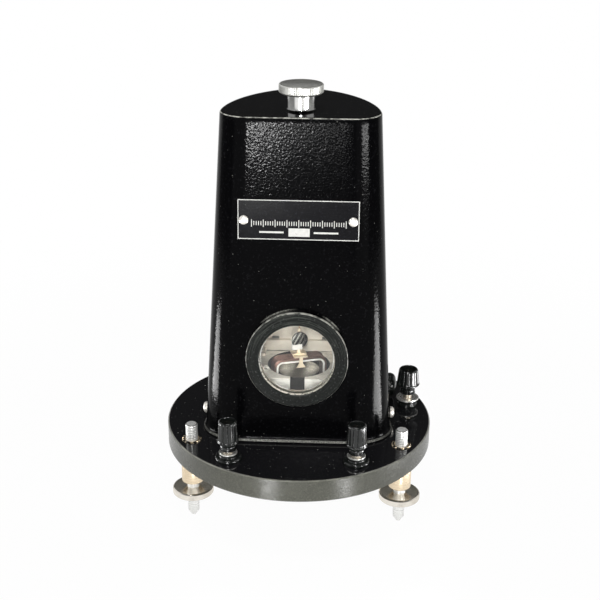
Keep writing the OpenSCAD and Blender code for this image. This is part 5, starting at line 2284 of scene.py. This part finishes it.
@dataclass
class Studio:
    """The floor, the surroundings, the lamps and the camera."""

    floor_r: float = 0.75
    floor_sides: int = 96
    floor_colour: Colour = (0.8, 0.8, 0.79)
    floor_glow: float = 0.97
    fill_level: float = 0.4
    side_level: float = 0.22
    room_level: float = 0.03
    window_level: float = 0.9
    camera_place: Triple = (0.03045, -0.72829, 0.43504)
    heading: float = 2.4
    pitch: float = 22.05
    roll: float = 0.0085
    lens: float = 71.62
    lamps: tuple[Lamp, ...] = (
        Lamp("flash", (0.0, -1.05, 0.66), AT_BASE, (0.12, 0.12), 4.3),
        Lamp("front_fill", (0.02, -1.1, 0.2), AT_BASE, (0.2, 0.2), 1.6, Serves.LEVEL),
        Lamp("left_lamp", (-0.155, -1.3, 0.12), AT_CASE, (0.08, 0.05), 4.4, Serves.SHINE),
        Lamp("middle_lamp", (-0.01, -1.3, 0.14), AT_CASE, (0.13, 0.04), 0.65, Serves.SHINE),
        Lamp("right_lamp", (0.985, -0.865, 0.11), AT_CASE, (0.56, 0.08), 9.4, Serves.SHINE),
        Lamp(
            "low_right", (0.25, -0.06, 0.045), (0.21, -0.06, 0.2), (0.08, 0.16), 1.9, Serves.SHINE,
        ),
        Lamp(
            "low_left", (-0.25, -0.02, 0.045), (-0.21, -0.02, 0.2), (0.08, 0.12), 1.1, Serves.SHINE,
        ),
        Lamp("rim_left", (-0.044, -0.162, 0.007), (-0.015, -0.088, 0.049), (0.02, 0.012), 0.02),
        Lamp("rim_right", (0.088, -0.146, 0.007), (0.033, -0.082, 0.049), (0.02, 0.012), 0.02),
        Lamp("top_card", (-0.1, -0.2, 1.3), (0.0, -0.02, 0.1), (0.35, 0.35), 4.8),
    )

    def build(self) -> None:
        """Makes everything round the object."""
        self.floor()
        self.surroundings()
        for lamp in self.lamps:
            lamp.build()
        self.camera()
        bpy.context.scene.view_settings.view_transform = "Standard"

    def floor(self) -> None:
        """A round pale floor that looks white and keeps the object's shadow."""
        sides = self.floor_sides
        rim = [(*polar(self.floor_r, math.tau * k / sides), 0.0) for k in range(sides)]
        data = bpy.data.meshes.new("floor")
        data.from_pydata(rim, [], [tuple(range(sides))])
        floor = put("floor", data)
        graph = Graph("studio_floor")
        tone = graph.noise(3.0, 2.0)
        graph.surface(
            Base_Color=graph.blend(tone, self.floor_colour, toned(self.floor_colour, 1.03)),
            Roughness=0.6,
            Specular_IOR_Level=0.2,
        )
        glow = graph.make("Emission", {"Color": WHITE, "Strength": 1.0})
        fade = graph.length(graph.here).rise(0.2, self.floor_r * 0.8, (self.floor_glow, 1.0))
        seen = graph.rays("Is Glossy Ray", "Is Transmission Ray", "Is Camera Ray")
        graph.overlay(seen * fade, glow)
        data.materials.append(graph.material)

    def surroundings(self) -> None:
        """A white backdrop with a seam in front, dull sides, two windows and a dim room."""
        world = bpy.data.worlds.new("studio_room")
        bpy.context.scene.world = world
        world.use_nodes = True
        nodes = Nodes(world.node_tree)
        x, y, z = nodes.split(nodes.make("TexCoord", {}, "Generated"))
        turn = nodes.math("DEGREES", nodes.math("ARCTAN2", x, y * -1.0))
        wide = abs(turn)
        seam = turn.band(-3.0, 3.0, 11.0, 17.0)
        front = turn.band(-60.0, -46.0, 50.0, 60.0) * (1.0 - seam * 0.6)
        level = front.most(wide.rise(108.0, 122.0)).most(self.side_level)
        height = z.rise(0.03, 0.16)
        window = wide.band(40.0, 60.0, 125.0, 145.0) * z.fall(0.75, 0.85) * self.window_level
        room = level * (1.0 - height) + height * window.most(self.room_level)
        shiny = nodes.rays("Is Glossy Ray", "Is Transmission Ray")
        lit = room * shiny + (1.0 - shiny) * self.fill_level
        back = nodes.tree.nodes["Background"]
        nodes.feed(back.inputs["Strength"], lit.most(nodes.rays("Is Camera Ray")))
        nodes.feed(back.inputs["Color"], WHITE)

    def camera(self) -> None:
        """The camera at the photograph's view."""
        data = bpy.data.cameras.new("photo_camera")
        data.sensor_width = 36.0
        data.lens = self.lens
        data.clip_start = 0.01
        camera = put("photo_camera", data)
        turn = spin(self.heading, "Z") @ spin(90 - self.pitch, "X")
        roll = Matrix.Rotation(self.roll, 4, "Z")
        camera.matrix_world = Matrix.Translation(self.camera_place) @ turn @ roll
        bpy.context.scene.camera = camera


def main() -> None:
    """Builds every sub-assembly in order, then the studio."""
    logging.basicConfig(level=logging.INFO, format="%(name)s: %(message)s")
    groups: tuple[SubAssembly, ...] = (
        Base(), LevellingFeet(), Case(), Window(), Plate(), TorsionHead(),
        MovingCoil(), MagnetSystem(), ArrestGear(), Terminals(),
    )
    for group in groups:
        pieces = group.build()
        log.info("%s: %s", type(group).__name__, ", ".join(piece.name for piece in pieces))
    Studio().build()


if __name__ == "__main__":
    main()
